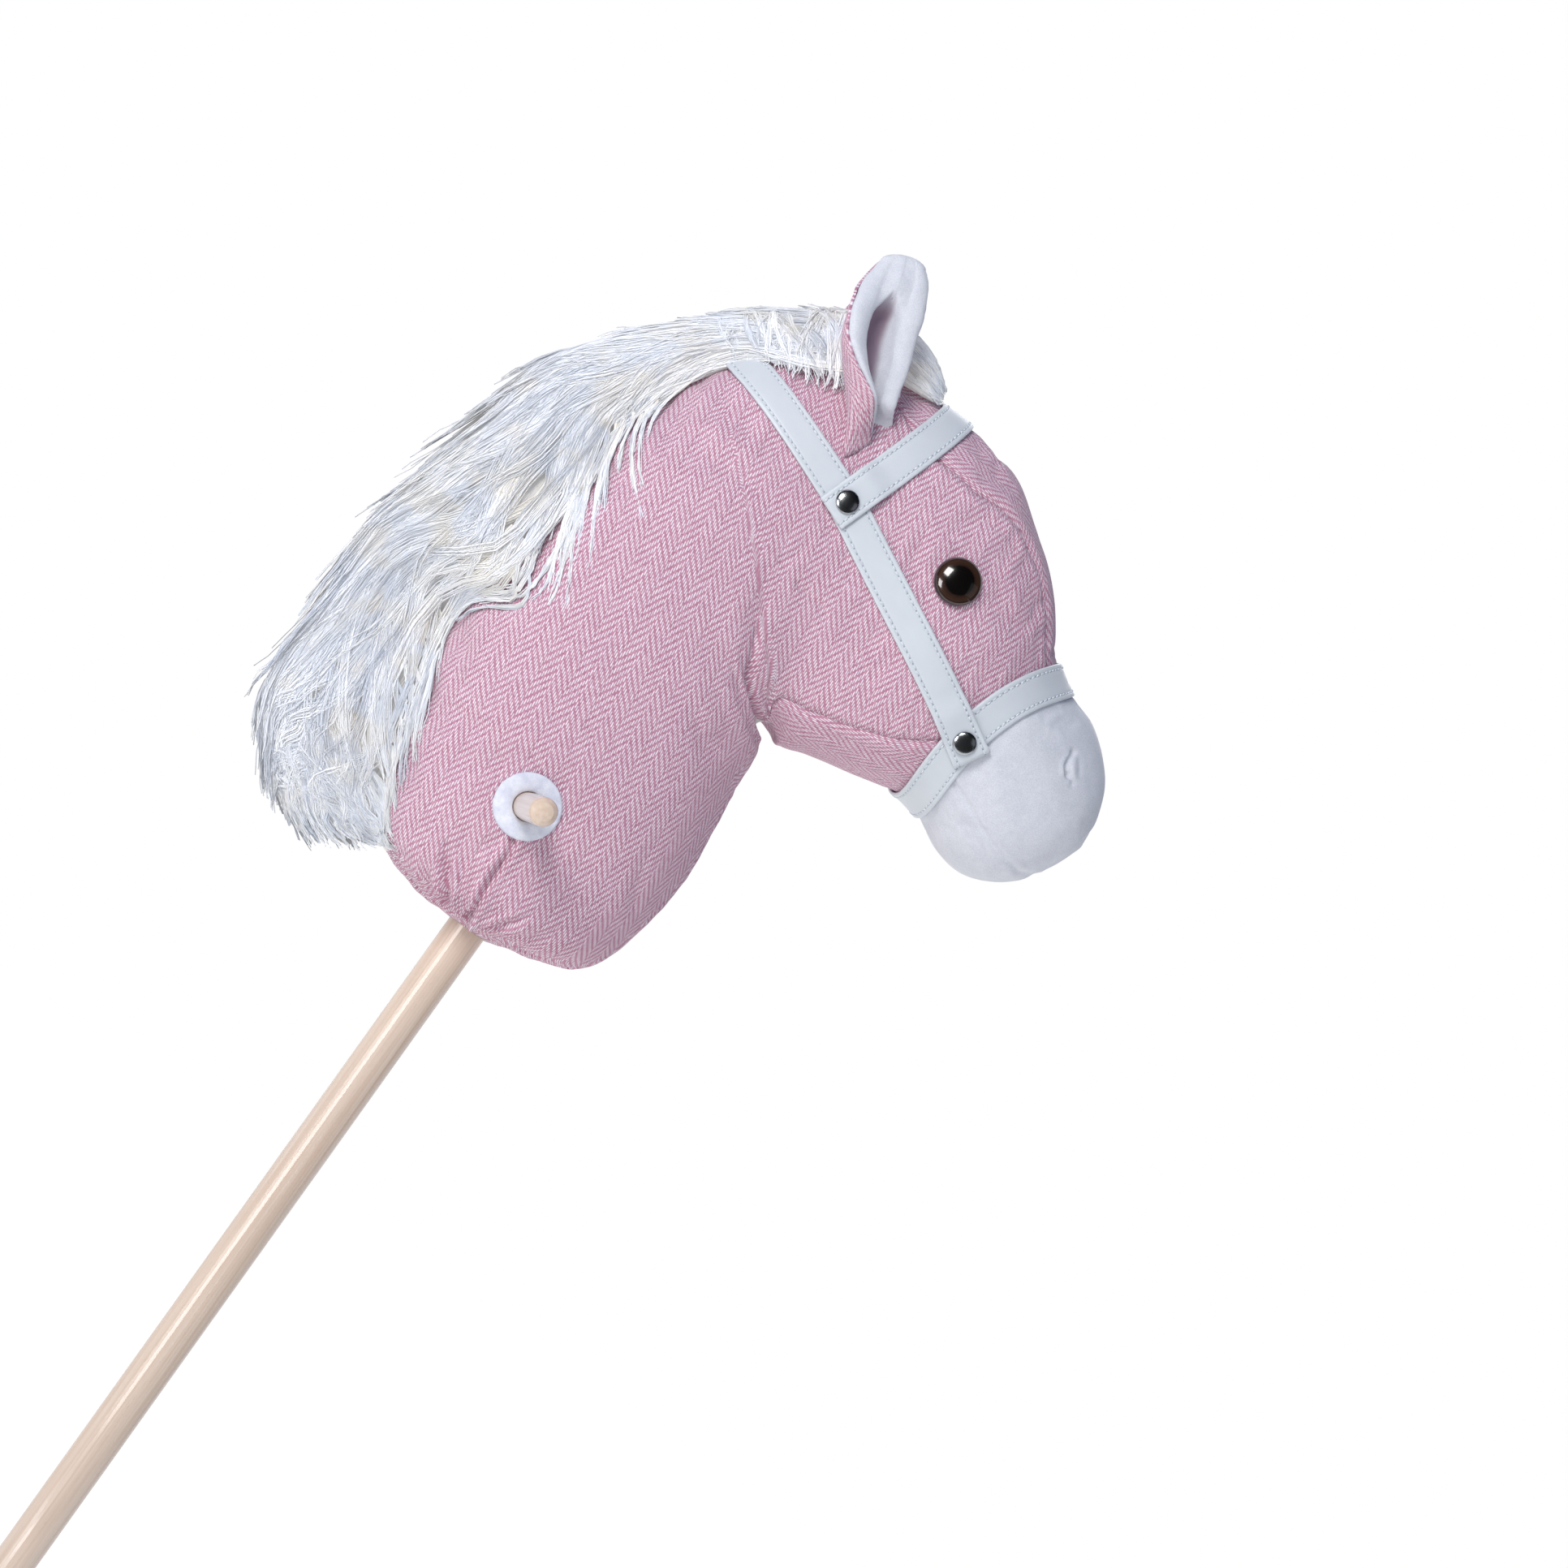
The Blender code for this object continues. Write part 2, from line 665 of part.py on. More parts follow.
def strap_solid(path, lifts, width, thickness, loop=False):
    """A flat strap along a path on the surface, at a height for each point."""
    rows_out, rows_in = [], []
    count = len(path)
    for i, spot in enumerate(path):
        before = path[i - 1] if (loop or i > 0) else path[i]
        after = path[(i + 1) % count] if (loop or i < count - 1) else path[i]
        found, normal = nearest(spot)
        sideways = normal.cross(after - before).normalized()
        row_out, row_in = [], []
        for k in (-1, 0, 1):
            place, up = nearest(found + sideways * width / 2 * k)
            row_in.append(place + up * lifts[i])
            row_out.append(place + up * (lifts[i] + thickness))
        rows_out.append(row_out)
        rows_in.append(row_in)
    return sheet_solid(rows_out, rows_in, loop=loop)


def even_path(points, spacing):
    """The same path with its points at an even spacing."""
    lengths = [0.0]
    for a, b in zip(points, points[1:]):
        lengths.append(lengths[-1] + (b - a).length)
    count = max(2, round(lengths[-1] / spacing))
    path = []
    i = 0
    for step in range(count + 1):
        target = lengths[-1] * step / count
        while i < len(points) - 2 and lengths[i + 1] < target:
            i += 1
        part = (target - lengths[i]) / (lengths[i + 1] - lengths[i])
        path.append(points[i].lerp(points[i + 1], part))
    return path


def over_the_top(start, crest, steps=24):
    """Points on the right side from a place to the crest, in side view a
    straight line."""
    points = []
    for step in range(steps):
        share = math.sin(math.pi / 2 * step / steps)
        x = start[0] + (crest[0] - start[0]) * share
        z = start[1] + (crest[1] - start[1]) * share
        start_ray = on_plane(x, z) + Vector((0, -0.2, 0))
        found, _, _, _ = SURFACE.ray_cast(start_ray, Vector((0, 1, 0)))
        if found is not None:
            points.append(found)
    found, _ = nearest(on_plane(*crest))
    points.append(Vector((found.x, 0, found.z)))
    return points


def both_sides(half):
    """A path from the right side over the middle to the left side."""
    other = [Vector((point.x, -point.y, point.z)) for point in reversed(half[:-1])]
    return half + other


def eased(distance, near, far):
    """1 up to a near distance, 0 from a far one, smooth between them."""
    share = min(max((distance - near) / (far - near), 0.0), 1.0)
    return 1 - share * share * (3 - 2 * share)


STRAP_STEP = 0.0105             # length of strap between two of its sections
UNDER_STRAP = 3 * FIT
OVER_STRAP = UNDER_STRAP + STRAP + 2 * FIT


def headpiece_path():
    """From the lower rivet's end up the cheek and over the poll."""
    low = Vector(LOWER_RIVET_AT)
    high = Vector(UPPER_RIVET_AT)
    end = low + (low - high).normalized() * 11
    cheek = []
    for step in range(20):
        spot = end.lerp(high, step / 20)
        cheek.append(side_spot(spot.x, spot.y)[0])
    return even_path(both_sides(cheek + over_the_top(UPPER_RIVET_AT, POLL_STRAP_AT)), STRAP_STEP)


def browband_path():
    """From the upper rivet's end over the forehead."""
    start = Vector(UPPER_RIVET_AT)
    crest = Vector(BROW_STRAP_AT)
    end = start - (crest - start).normalized() * 10.5
    return even_path(both_sides(over_the_top(tuple(end), BROW_STRAP_AT)), STRAP_STEP)


def noseband_path():
    """Round the muzzle at one section."""
    points = [bare_skin(NOSEBAND, math.tau * j / 120) for j in range(121)]
    return even_path(points, STRAP_STEP)[:-1]


def rivet_places():
    """Both rivets of the right side, with the height of the strap under each."""
    top = OVER_STRAP + STRAP
    return {"upper": (side_spot(*UPPER_RIVET_AT), top), "lower": (side_spot(*LOWER_RIVET_AT), top)}


def make_bridle(covers, lumps):
    """Three straps, held to each other and to the head by four rivets."""
    rivets = rivet_places()
    upper = rivets["upper"][0][0]
    lower = rivets["lower"][0][0]
    path = headpiece_path()
    poll = on_plane(*POLL_STRAP_AT)
    lifts = []
    for spot in path:
        right = Vector((spot.x, -abs(spot.y), spot.z))
        over_nose = eased((right - lower).length, 0.015, 0.029)
        over_tape = eased((spot - poll).length, 0.011, 0.024)
        lifts.append(UNDER_STRAP + (OVER_STRAP - UNDER_STRAP) * over_nose + (TAPE + 2 * FIT) * over_tape)
    headpiece = add_object("headpiece", strap_solid(path, lifts, STRAP_WIDTH, STRAP), strap_leather())
    channel = [lift - 3 * FIT for lift in lifts]
    wide = strap_solid(path, channel, STRAP_WIDTH + 0.0012, STRAP + 5 * FIT)
    hair_cutter = add_cutter("cut_hair_over_strap", wide)

    path = browband_path()
    lifts = []
    for spot in path:
        right = Vector((spot.x, -abs(spot.y), spot.z))
        over_cheek = eased((right - upper).length, 0.015, 0.029)
        lifts.append(UNDER_STRAP + (OVER_STRAP - UNDER_STRAP) * over_cheek)
    browband = add_object("browband", strap_solid(path, lifts, STRAP_WIDTH, STRAP), strap_leather())

    path = noseband_path()
    lifts = [UNDER_STRAP] * len(path)
    noseband = add_object("noseband", strap_solid(path, lifts, STRAP_WIDTH, STRAP, loop=True), strap_leather())

    post = RIVET_POST_DIAMETER / 2
    radius = RIVET_DIAMETER / 2
    through = {"upper": (headpiece, browband), "lower": (noseband, headpiece)}
    for level, ((spot, normal), height) in rivets.items():
        placing = frame_at(spot, normal)
        seat = height + 2 * FIT
        edge = 0.0004
        back_top = -CLOTH - INNER_SEAT
        back_end = back_top - RIVET_BACK
        end = back_end - 2 * edge
        cap = [(0, end), (post - edge, end), (post, end + edge), (post, seat), (radius - edge, seat)]
        for step in range(4):
            angle = math.pi / 2 * step / 4
            cap.append((radius * math.cos(angle), seat + edge + (RIVET_HEIGHT - edge) * math.sin(angle)))
        cap.append((0, seat + RIVET_HEIGHT))
        back = ring_profile(post + FIT, RIVET_BACK_DIAMETER / 2, back_end, back_top)
        hole = rod_profile(post + FIT, 2 * end, 2 * seat, 0, 0)
        pocket = rod_profile(RIVET_BACK_DIAMETER / 2 + FIT, end - FIT, seat, 0, 0)
        for side, flip in (("right", 1), ("left", -1)):
            pieces = {}
            for name, outline in (("cap", cap), ("back", back), ("hole", hole), ("pocket", pocket)):
                pieces[name] = turned(outline, placing, 20 if name == "cap" else 14)
                if flip < 0:
                    mirrored(pieces[name])
            add_object(f"rivet_{level}_{side}", pieces["cap"], steel(), 50)
            add_object(f"rivet_back_{level}_{side}", pieces["back"], steel())
            drill = add_cutter(f"cut_rivet_{level}_{side}", pieces["hole"])
            for piece in through[level] + (covers["side_panel_" + side],):
                boolean(piece, drill)
            boolean(lumps["head_stuffing"], add_cutter(f"cut_rivet_pocket_{level}_{side}", pieces["pocket"]))
    return hair_cutter


# Ears

EAR_HALF_WIDTHS = [(0, 5), (0.05, 8), (0.1, 11), (0.2, 15), (0.3, 18), (0.42, 20.5), (0.55, 22), (0.66, 22), (0.77, 20.5)]
EAR_HALF_WIDTHS += [(0.87, 17), (0.94, 12.5), (0.985, 7), (1.0, 3)]
EAR_ROWS = [0, 0.06, 0.13, 0.2, 0.3, 0.42, 0.55, 0.66, 0.77, 0.87, 0.94, 0.985, 1.0]
EAR_OPENINGS = [(0, 150), (0.15, 128), (0.3, 104), (0.5, 88), (0.7, 74), (0.9, 50), (1.0, 34)]


def ear_frame():
    """Root point, hinge point and directions of the right ear: up along it,
    out of its opening, across it, and along the fold at its root."""
    root, normal = side_spot(*EAR_ROOT_AT)
    hinge = root + normal * (EAR_ROOT_RADIUS + 1.2 * FIT)
    tip = on_plane(*EAR_TIP_AT) + Vector((0, -EAR_TIP_SIDE, 0))
    up = (tip - hinge).normalized()
    fold = up.cross(normal).normalized()
    opening = Vector(EAR_FACES)
    opening = (opening - opening.dot(up) * up).normalized()
    across = up.cross(opening).normalized()
    return hinge, up, opening, across, fold


def ear_sheet(outside, inside, shares):
    """A cupped leaf between two depths under the ear's outer surface, with a
    row at each share of the ear's length."""
    hinge, up, opening, across, _ = ear_frame()
    columns = 10
    layers = []
    for depth in (outside, inside):
        grid = []
        for share in shares:
            half = math.radians(along(EAR_OPENINGS, share))
            radius = along(EAR_HALF_WIDTHS, share) / 1000 / math.sin(min(half, math.pi / 2))
            height = EAR_LENGTH * share
            row = []
            for j in range(columns + 1):
                turn = half * (2 * j / columns - 1)
                arm = across * math.sin(turn) - opening * math.cos(turn)
                row.append(hinge + up * height + arm * (radius - depth) + opening * radius * 0.35)
            grid.append(row)
        layers.append(grid)
    return sheet_solid(layers[0], layers[1])


def make_ears():
    """Each ear is a cupped leaf of the head's cloth, lined with velour and
    rolled at its root, where it is sewn on and folds."""
    hinge, _, _, _, fold = ear_frame()
    half = EAR_ROOT_LENGTH / 2
    for side, flip in (("right", 1), ("left", -1)):
        leaf = ear_sheet(0.0, EAR_CLOTH, EAR_ROWS)
        lining = ear_sheet(EAR_CLOTH + FIT, EAR_CLOTH + FIT + EAR_LINING, EAR_ROWS[2:-1])
        roll = turned(rod_profile(EAR_ROOT_RADIUS, -half, half, 0.002, 2), frame_at(hinge, fold), 16)
        if flip < 0:
            for piece in (leaf, lining, roll):
                mirrored(piece)
        pivot = Vector((hinge.x, flip * hinge.y, hinge.z))
        outer = add_object("ear_" + side, leaf, weave(), 50)
        boolean(outer, add_cutter("root_of_ear_" + side, roll), "UNION")
        set_origin(outer, pivot)
        set_origin(add_object("ear_lining_" + side, lining, velour(), 50), pivot)


# Mane

# Section, crest tip x and z in millimetres, depth of hair down the side,
# thickness at the side
MANE_ROWS = [
    (1.5, -98, -9, 4, 4),
    (2, -121, -1, 7, 6),
    (2.6, -142, 16, 9, 8),
    (3.3, -160, 38, 10, 9),
    (4, -165, 56, 11, 10),
    (5, -166, 96, 12, 11),
    (6, -168, 136, 18, 11),
    (7, -163, 178, 28, 11),
    (8, -155, 222, 30, 10),
    (9, -146, 263, 26, 9),
    (9.6, -132, 288, 20, 9),
    (10.2, -114, 312, 15, 8),
    (10.8, -90, 336, 12, 7),
    (11.4, -62, 364, 9, 6),
    (12.0, -24, 392, 8, 5),
    (12.4, 0, 402, 7, 4),
]
FORELOCK_ROWS = [
    (12.46, 7, 403, 7, 4),
    (12.65, 17, 401, 7.5, 4),
    (12.85, 29, 396, 8, 4),
    (13.02, 38, 389, 7, 3.5),
    (13.11, 41, 382, 5, 2.5),
]
HAIR_ROOT = 0.0026              # least thickness of the hair, with its gap to the cloth


def hair_solid(table, steps, columns, locks):
    """A closed mass of hair that sits astride the crest."""
    rows_out, rows_in = [], []
    total = (len(table) - 1) * steps
    for i in range(total + 1):
        section, tip_x, tip_z, depth, side = between(table, i / steps)
        values = between(SECTIONS, section)
        crest = on_plane(values[2], values[3])
        reach = on_plane(tip_x, tip_z) - skin(section, 0, HAIR_ROOT + side / 1000)
        half_depth = (crest - on_plane(values[0], values[1])).length * 500
        wave = math.sin(i * 2.4) * locks
        edge = math.acos(max(1 - depth * (1 + 0.16 * math.sin(i * 1.9)) / half_depth, 0.0) ** (values[6] / 2))
        row_out, row_in = [], []
        for j in range(columns + 1):
            share = 2 * j / columns - 1
            angle = -edge * share
            under = 0.0008 + 0.0017 * (1 - abs(share))
            row_in.append(skin(section, angle, under))
            puff = math.cos(share * math.pi / 2) ** 0.85
            ridge = 1 + 0.05 * math.sin(share * 9 + i * 1.3) * locks
            lift = HAIR_ROOT + side / 1000 * (0.35 + 0.65 * puff) * (1 + 0.2 * wave)
            row_out.append(skin(section, angle, lift) + reach * puff * ridge)
        rows_out.append(row_out)
        rows_in.append(row_in)
    return sheet_solid(rows_out, rows_in)


def crest_tape():
    """The woven strip in the crest seam that the yarn is sewn to."""
    rows_out, rows_in = [], []
    for section in reversed([row for row in SIDE_ROWS if 1.5 < row < 13]):
        width = angle_for(section, 5)
        angles = [width, 0, -width]
        rows_in.append([skin(section, angle, 2 * FIT) for angle in angles])
        rows_out.append([skin(section, angle, 2 * FIT + TAPE) for angle in angles])
    return sheet_solid(rows_out, rows_in)


def make_mane(hair_cutter):
    """Tape, mane and forelock."""
    add_object("mane_tape", crest_tape(), yarn())
    mane = add_object("mane", hair_solid(MANE_ROWS, 2, 12, 1.0), yarn(), 60)
    boolean(mane, hair_cutter)
    add_object("forelock", hair_solid(FORELOCK_ROWS, 2, 8, 0.6), yarn(), 60)


# Nostrils

def nostril():
    """A pinched ring of velour, stitched to the muzzle."""
    centre, normal = side_spot(*NOSTRIL_AT)
    placing = frame_at(centre, normal, Vector((0, 0, 1)))
    steps, sides = 14, 6
    bm = bmesh.new()
    rings = []
    for i in range(steps):
        angle = math.tau * i / steps
        flat = placing @ Vector((NOSTRIL_LENGTH / 2 * math.cos(angle), NOSTRIL_WIDTH / 2 * math.sin(angle), 0))
        spot, up = nearest(flat)
        out = (spot - centre).normalized()
        ring = []
        for j in range(sides):
            turn = math.tau * j / sides
            rise = NOSTRIL_ROLL_RADIUS * (1 + math.sin(turn)) + FIT
            ring.append(bm.verts.new(spot + out * NOSTRIL_ROLL_RADIUS * math.cos(turn) + up * rise))
        rings.append(ring)
    for i in range(steps):
        k = (i + 1) % steps
        for j in range(sides):
            m = (j + 1) % sides
            bm.faces.new((rings[i][j], rings[i][m], rings[k][m], rings[k][j]))
    return bm


# Assembly

make_stick()
head_covers, head_lumps = make_head()
make_neck_tie()
handle_holes(head_covers, head_lumps)
add_object("felt_washer_right", felt_washer(), felt(), 50)
add_object("felt_washer_left", mirrored(felt_washer()), felt(), 50)
make_eyes(head_covers, head_lumps)
strap_channel = make_bridle(head_covers, head_lumps)
make_mane(strap_channel)
make_ears()
add_object("nostril_right", nostril(), velour())
add_object("nostril_left", mirrored(nostril()), velour())
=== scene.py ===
# Hobby horse: a stuffed horse head of pink and white herringbone cotton on a
# birch stick, with a yarn mane and a stitched white bridle. Metres, in the
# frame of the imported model: the stick runs up +Z, the horse looks along +X,
# and its right side faces -Y.

import math
import random

import bmesh
import bpy
import numpy as np
from mathutils import Matrix, Vector, noise
from mathutils.bvhtree import BVHTree


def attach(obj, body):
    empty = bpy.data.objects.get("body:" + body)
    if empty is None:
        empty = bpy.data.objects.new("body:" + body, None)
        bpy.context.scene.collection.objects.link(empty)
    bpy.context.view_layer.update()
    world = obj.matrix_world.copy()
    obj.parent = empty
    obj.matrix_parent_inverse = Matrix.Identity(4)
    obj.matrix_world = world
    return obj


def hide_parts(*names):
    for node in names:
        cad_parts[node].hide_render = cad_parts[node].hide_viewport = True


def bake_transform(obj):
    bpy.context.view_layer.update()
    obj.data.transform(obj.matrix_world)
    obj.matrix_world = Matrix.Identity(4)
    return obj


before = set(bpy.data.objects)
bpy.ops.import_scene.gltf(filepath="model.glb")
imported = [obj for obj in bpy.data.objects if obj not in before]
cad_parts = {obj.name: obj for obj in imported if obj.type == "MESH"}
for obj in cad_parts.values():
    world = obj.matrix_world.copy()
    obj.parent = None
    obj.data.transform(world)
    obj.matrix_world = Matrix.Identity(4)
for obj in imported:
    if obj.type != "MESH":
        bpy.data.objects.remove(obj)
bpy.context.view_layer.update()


# Stick and handle
# Two turned birch dowels, sanded and finished with a clear satin lacquer. The
# handle is screwed into a shallow saddle in the back of the stick.

def hex_colour(code):
    """A hex sRGB colour as the linear values that the shaders take."""
    linear = []
    for start in (0, 2, 4):
        value = int(code[start:start + 2], 16) / 255
        linear.append(value / 12.92 if value <= 0.04045 else ((value + 0.055) / 1.055) ** 2.4)
    return (*linear, 1.0)


def add_node(tree, kind, inputs=None, out=0, **settings):
    """Adds a node with its settings, and returns one of its outputs. Each
    input gets a value or a link."""
    made = tree.nodes.new(kind)
    for name, value in settings.items():
        setattr(made, name, value)
    for key, value in (inputs or {}).items():
        if isinstance(value, bpy.types.NodeSocket):
            tree.links.new(value, made.inputs[key])
        else:
            made.inputs[key].default_value = value
    return made.outputs[out]


def maths(tree, operation, *values, **settings):
    """A sum, product or other number made of its inputs in their order."""
    return add_node(tree, "ShaderNodeMath", dict(enumerate(values)), operation=operation, **settings)


def vector_maths(tree, operation, *values):
    """The same for vectors. A scale has its factor in an input of its own."""
    keys = (0, "Scale") if operation == "SCALE" else (0, 1, 2)
    return add_node(tree, "ShaderNodeVectorMath", dict(zip(keys, values)), operation=operation)


def remap(tree, value, from_low, from_high, to_low=0, to_high=1, smooth=False):
    """A value moved from one range into another."""
    ranges = dict(enumerate((value, from_low, from_high, to_low, to_high)))
    return add_node(tree, "ShaderNodeMapRange", ranges,
                    interpolation_type="SMOOTHSTEP" if smooth else "LINEAR")


def two_tones(tree, share, low, high):
    """A mix of two colours. Each is a hex colour or a link."""
    low, high = [hex_colour(tone) if isinstance(tone, str) else tone for tone in (low, high)]
    return add_node(tree, "ShaderNodeMix", {0: share, 6: low, 7: high}, 2, data_type="RGBA")


def noise_texture(tree, place, scale, detail=2.0, distortion=0.0, out="Fac"):
    """Soft noise over places of the piece."""
    return add_node(tree, "ShaderNodeTexNoise",
                    {"Vector": place, "Scale": scale, "Detail": detail, "Distortion": distortion}, out)


def parts_of(tree, vector):
    """The x, y and z of a vector."""
    return add_node(tree, "ShaderNodeSeparateXYZ", {0: vector}).node.outputs


def object_place(tree):
    """Each spot's own place on the piece, in metres."""
    return add_node(tree, "ShaderNodeTexCoord", out="Object")


def mark(tree, name, out="Fac"):
    """A value that the mesh itself holds."""
    return add_node(tree, "ShaderNodeAttribute", out=out, attribute_name=name)


def feed(surface, **links):
    """Links results to inputs of a surface shader."""
    for key, value in links.items():
        surface.id_data.links.new(value, surface.inputs[key.replace("_", " ")])


def emboss(surface, height, strength, distance):
    """Fine relief on a surface."""
    feed(surface, Normal=add_node(surface.id_data, "ShaderNodeBump",
                                  {"Height": height, "Strength": strength, "Distance": distance}))


def start_material(name, **constants):
    """A material with its surface shader, whose even values are set on it."""
    made = bpy.data.materials.new(name)
    made.use_nodes = True
    surface = made.node_tree.nodes["Principled BSDF"]
    for key, value in constants.items():
        surface.inputs[key.replace("_", " ")].default_value = value
    return made, made.node_tree, surface


def lacquered_birch(name, turn):
    """Birch under satin lacquer: pale, with grain lines drawn out along the
    dowel, a few dark flecks, and pores that the lacquer nearly fills."""
    made, tree, surface = start_material(name, Coat_Weight=0.8, Coat_Roughness=0.1, IOR=1.5,
                                         Specular_IOR_Level=0.2)
    along = add_node(tree, "ShaderNodeMapping", {"Vector": object_place(tree), "Rotation": turn})
    grain_place, cloud_place, fleck_place = [
        add_node(tree, "ShaderNodeMapping", {"Vector": along, "Scale": scale})
        for scale in ((420, 420, 9), (60, 60, 6), (90, 90, 22))]
    grain = noise_texture(tree, grain_place, 1, 5)
    cloud = noise_texture(tree, cloud_place, 1)
    fleck = add_node(tree, "ShaderNodeTexVoronoi", {"Vector": fleck_place, "Scale": 1}, "Distance")
    fleck_mask = remap(tree, fleck, 0.03, 0.07, 1, 0)
    fleck_pick = maths(tree, "GREATER_THAN", fleck.node.outputs["Color"], 0.86)
    fleck_here = maths(tree, "MULTIPLY", fleck_mask, fleck_pick)
    wood = two_tones(tree, remap(tree, grain, 0.35, 0.72), "E3D0C0", "D2B9A5")
    warm = two_tones(tree, remap(tree, cloud, 0.35, 0.7, 0, 0.5), wood, "DDC6B0")
    spotted = two_tones(tree, fleck_here, warm, "8A5C3C")
    feed(surface, Base_Color=spotted, Roughness=remap(tree, grain, 0, 1, 0.36, 0.5))
    emboss(surface, grain, 0.05, 0.0003)
    return made


def wear(node, made):
    """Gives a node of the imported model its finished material."""
    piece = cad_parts[node]
    piece.data.materials.clear()
    piece.data.materials.append(made)


wear("stick", lacquered_birch("satin_lacquered_birch", (0, 0, 0)))
wear("handle", lacquered_birch("satin_lacquered_birch_handle", (math.pi / 2, 0, 0)))


# Fittings inside the head
# A zinc-plated wood screw, a nylon cable tie on the hem, nylon locks on the
# eye posts and pressed steel backs on the rivets. None shows when it is whole.

def zinc_plated_steel():
    """Zinc plating is a dull blue-grey metal with fine cloudy crystals."""
    made, tree, surface = start_material("zinc_plated_steel", Metallic=1.0, Base_Color=hex_colour("AEB2B6"))
    cloud = noise_texture(tree, object_place(tree), 900, 3)
    feed(surface, Roughness=remap(tree, cloud, 0, 1, 0.28, 0.5))
    return made


def moulded_nylon():
    """Uncoloured nylon is milky, and shows a faint moulded grain."""
    made, tree, surface = start_material("natural_moulded_nylon", Base_Color=hex_colour("DDDCD6"),
                                         Subsurface_Weight=0.2, Subsurface_Scale=0.002, IOR=1.53)
    grain = noise_texture(tree, object_place(tree), 1400)
    feed(surface, Roughness=remap(tree, grain, 0, 1, 0.35, 0.55))
    return made


zinc = zinc_plated_steel()
nylon = moulded_nylon()
wear("handle_screw", zinc)
wear("neck_tie", nylon)
for side in ("right", "left"):
    wear(f"eye_lock_{side}", nylon)
    for level in ("upper", "lower"):
        wear(f"rivet_back_{level}_{side}", zinc)


# Form of the stuffed head
# The bag of cloth is cut so that stuffing fills it to these ribs. Each row is
# the throat point x, z and the crest point x, z in millimetres before the
# stick's axis and above the neck's end, the half width, how far the sides lie
# back, and how square the rib is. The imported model's head has the same form.

NECK_END = 0.585
RIBS = np.array([
    (12.5, 0.5, -12.5, 0.5, 12.5, 0, 2.0),
    (32, 7, -33, 3, 27, 0, 2.0),
    (53, 14, -56, 9, 40, 0, 2.1),
    (67, 28, -70, 20, 48, 0, 2.2),
    (75.5, 56, -84, 50, 54, 0, 2.2),
    (79, 88, -96, 88, 57, 0, 2.2),
    (76.5, 116, -103, 128, 58.5, 0, 2.2),
    (73.5, 140, -106, 170, 59.5, 0, 2.2),
    (72.5, 156, -104, 212, 60, 0, 2.2),
    (69.5, 169, -94, 255, 59, 0, 2.2),
    (67.5, 176, -76, 300, 57, 0, 2.15),
    (69, 178, -48, 340, 53.5, 0, 2.1),
    (73.5, 177, -8, 366, 51.5, 0, 2.1),
    (80, 176.5, 35, 375, 52.5, 0, 2.15),
    (92, 180.5, 78, 374, 55.5, 0, 2.3),
    (107, 185, 106, 367, 57.5, 1, 2.4),
    (122, 188.5, 131, 348.5, 57.5, 4, 2.4),
    (135, 192, 153, 327, 55.5, 9, 2.35),
    (146, 194.3, 171, 305, 53, 14, 2.3),
    (155, 193.8, 184, 295, 51.5, 16, 2.25),
    (167, 190.5, 196, 289.5, 50.5, 14, 2.2),
    (184, 182.5, 209.5, 283.5, 48.5, 10, 2.2),
    (202, 180.5, 222, 274, 45, 6, 2.15),
    (219, 188, 232.5, 261, 38.5, 3, 2.1),
    (233, 204, 239.5, 243, 27, 1, 2.0),
    (240, 219, 241.7, 231, 12, 0, 2.0),
])
NOSE = len(RIBS) - 1
NOSEBAND_RIB = 19
MUZZLE_SEAM = 19.4


def smooth_rows(table, position):
    """Smooth values between the rows of a table, for any number of positions."""
    last = len(table) - 1
    position = np.clip(np.asarray(position, float), 0, last)
    i = np.minimum(position.astype(int), last - 1)
    part = (position - i)[..., None]
    a, b, c, d = table[np.maximum(i - 1, 0)], table[i], table[i + 1], table[np.minimum(i + 2, last)]
    return 0.5 * (2 * b + (c - a) * part + (2 * a - 5 * b + 4 * c - d) * part ** 2
                  + (3 * b - a - 3 * c + d) * part ** 3)


def form(rib, angle):
    """Points of the head's form. The angle is 0 on the crest and pi under the
    throat, by way of the horse's right side."""
    rib, angle = np.broadcast_arrays(np.asarray(rib, float), np.asarray(angle, float))
    under_x, under_z, top_x, top_z, half_width, back, square = np.moveaxis(smooth_rows(RIBS, rib), -1, 0)
    up_x, up_z = (top_x - under_x) / 2, (top_z - under_z) / 2
    length = np.hypot(up_x, up_z)
    cosine, sine = np.cos(angle), np.sin(angle)
    rise = np.sign(cosine) * np.abs(cosine) ** (2 / square)
    reach = np.sign(sine) * np.abs(sine) ** (2 / square)
    set_back = back * sine * sine
    x = (under_x + top_x) / 2 + up_x * rise - up_z / length * set_back
    z = (under_z + top_z) / 2 + up_z * rise + up_x / length * set_back
    return np.stack([x, -half_width * reach, z], -1) / 1000 + (0, 0, NECK_END)


def form_normal(rib, angle):
    """Outward directions of the form."""
    step = 0.02
    ahead = form(np.minimum(rib + step, NOSE), angle) - form(np.maximum(rib - step, 0), angle)
    normal = np.cross(form(rib, angle + step) - form(rib, angle - step), ahead)
    return normal / np.linalg.norm(normal, axis=-1, keepdims=True)


def angle_for(rib, half_width):
    """Angles from the crest at which the form is so many millimetres from the
    middle plane."""
    values = smooth_rows(RIBS, rib)
    return np.arcsin(np.minimum(half_width / values[..., 4], 1.0) ** (values[..., 6] / 2))


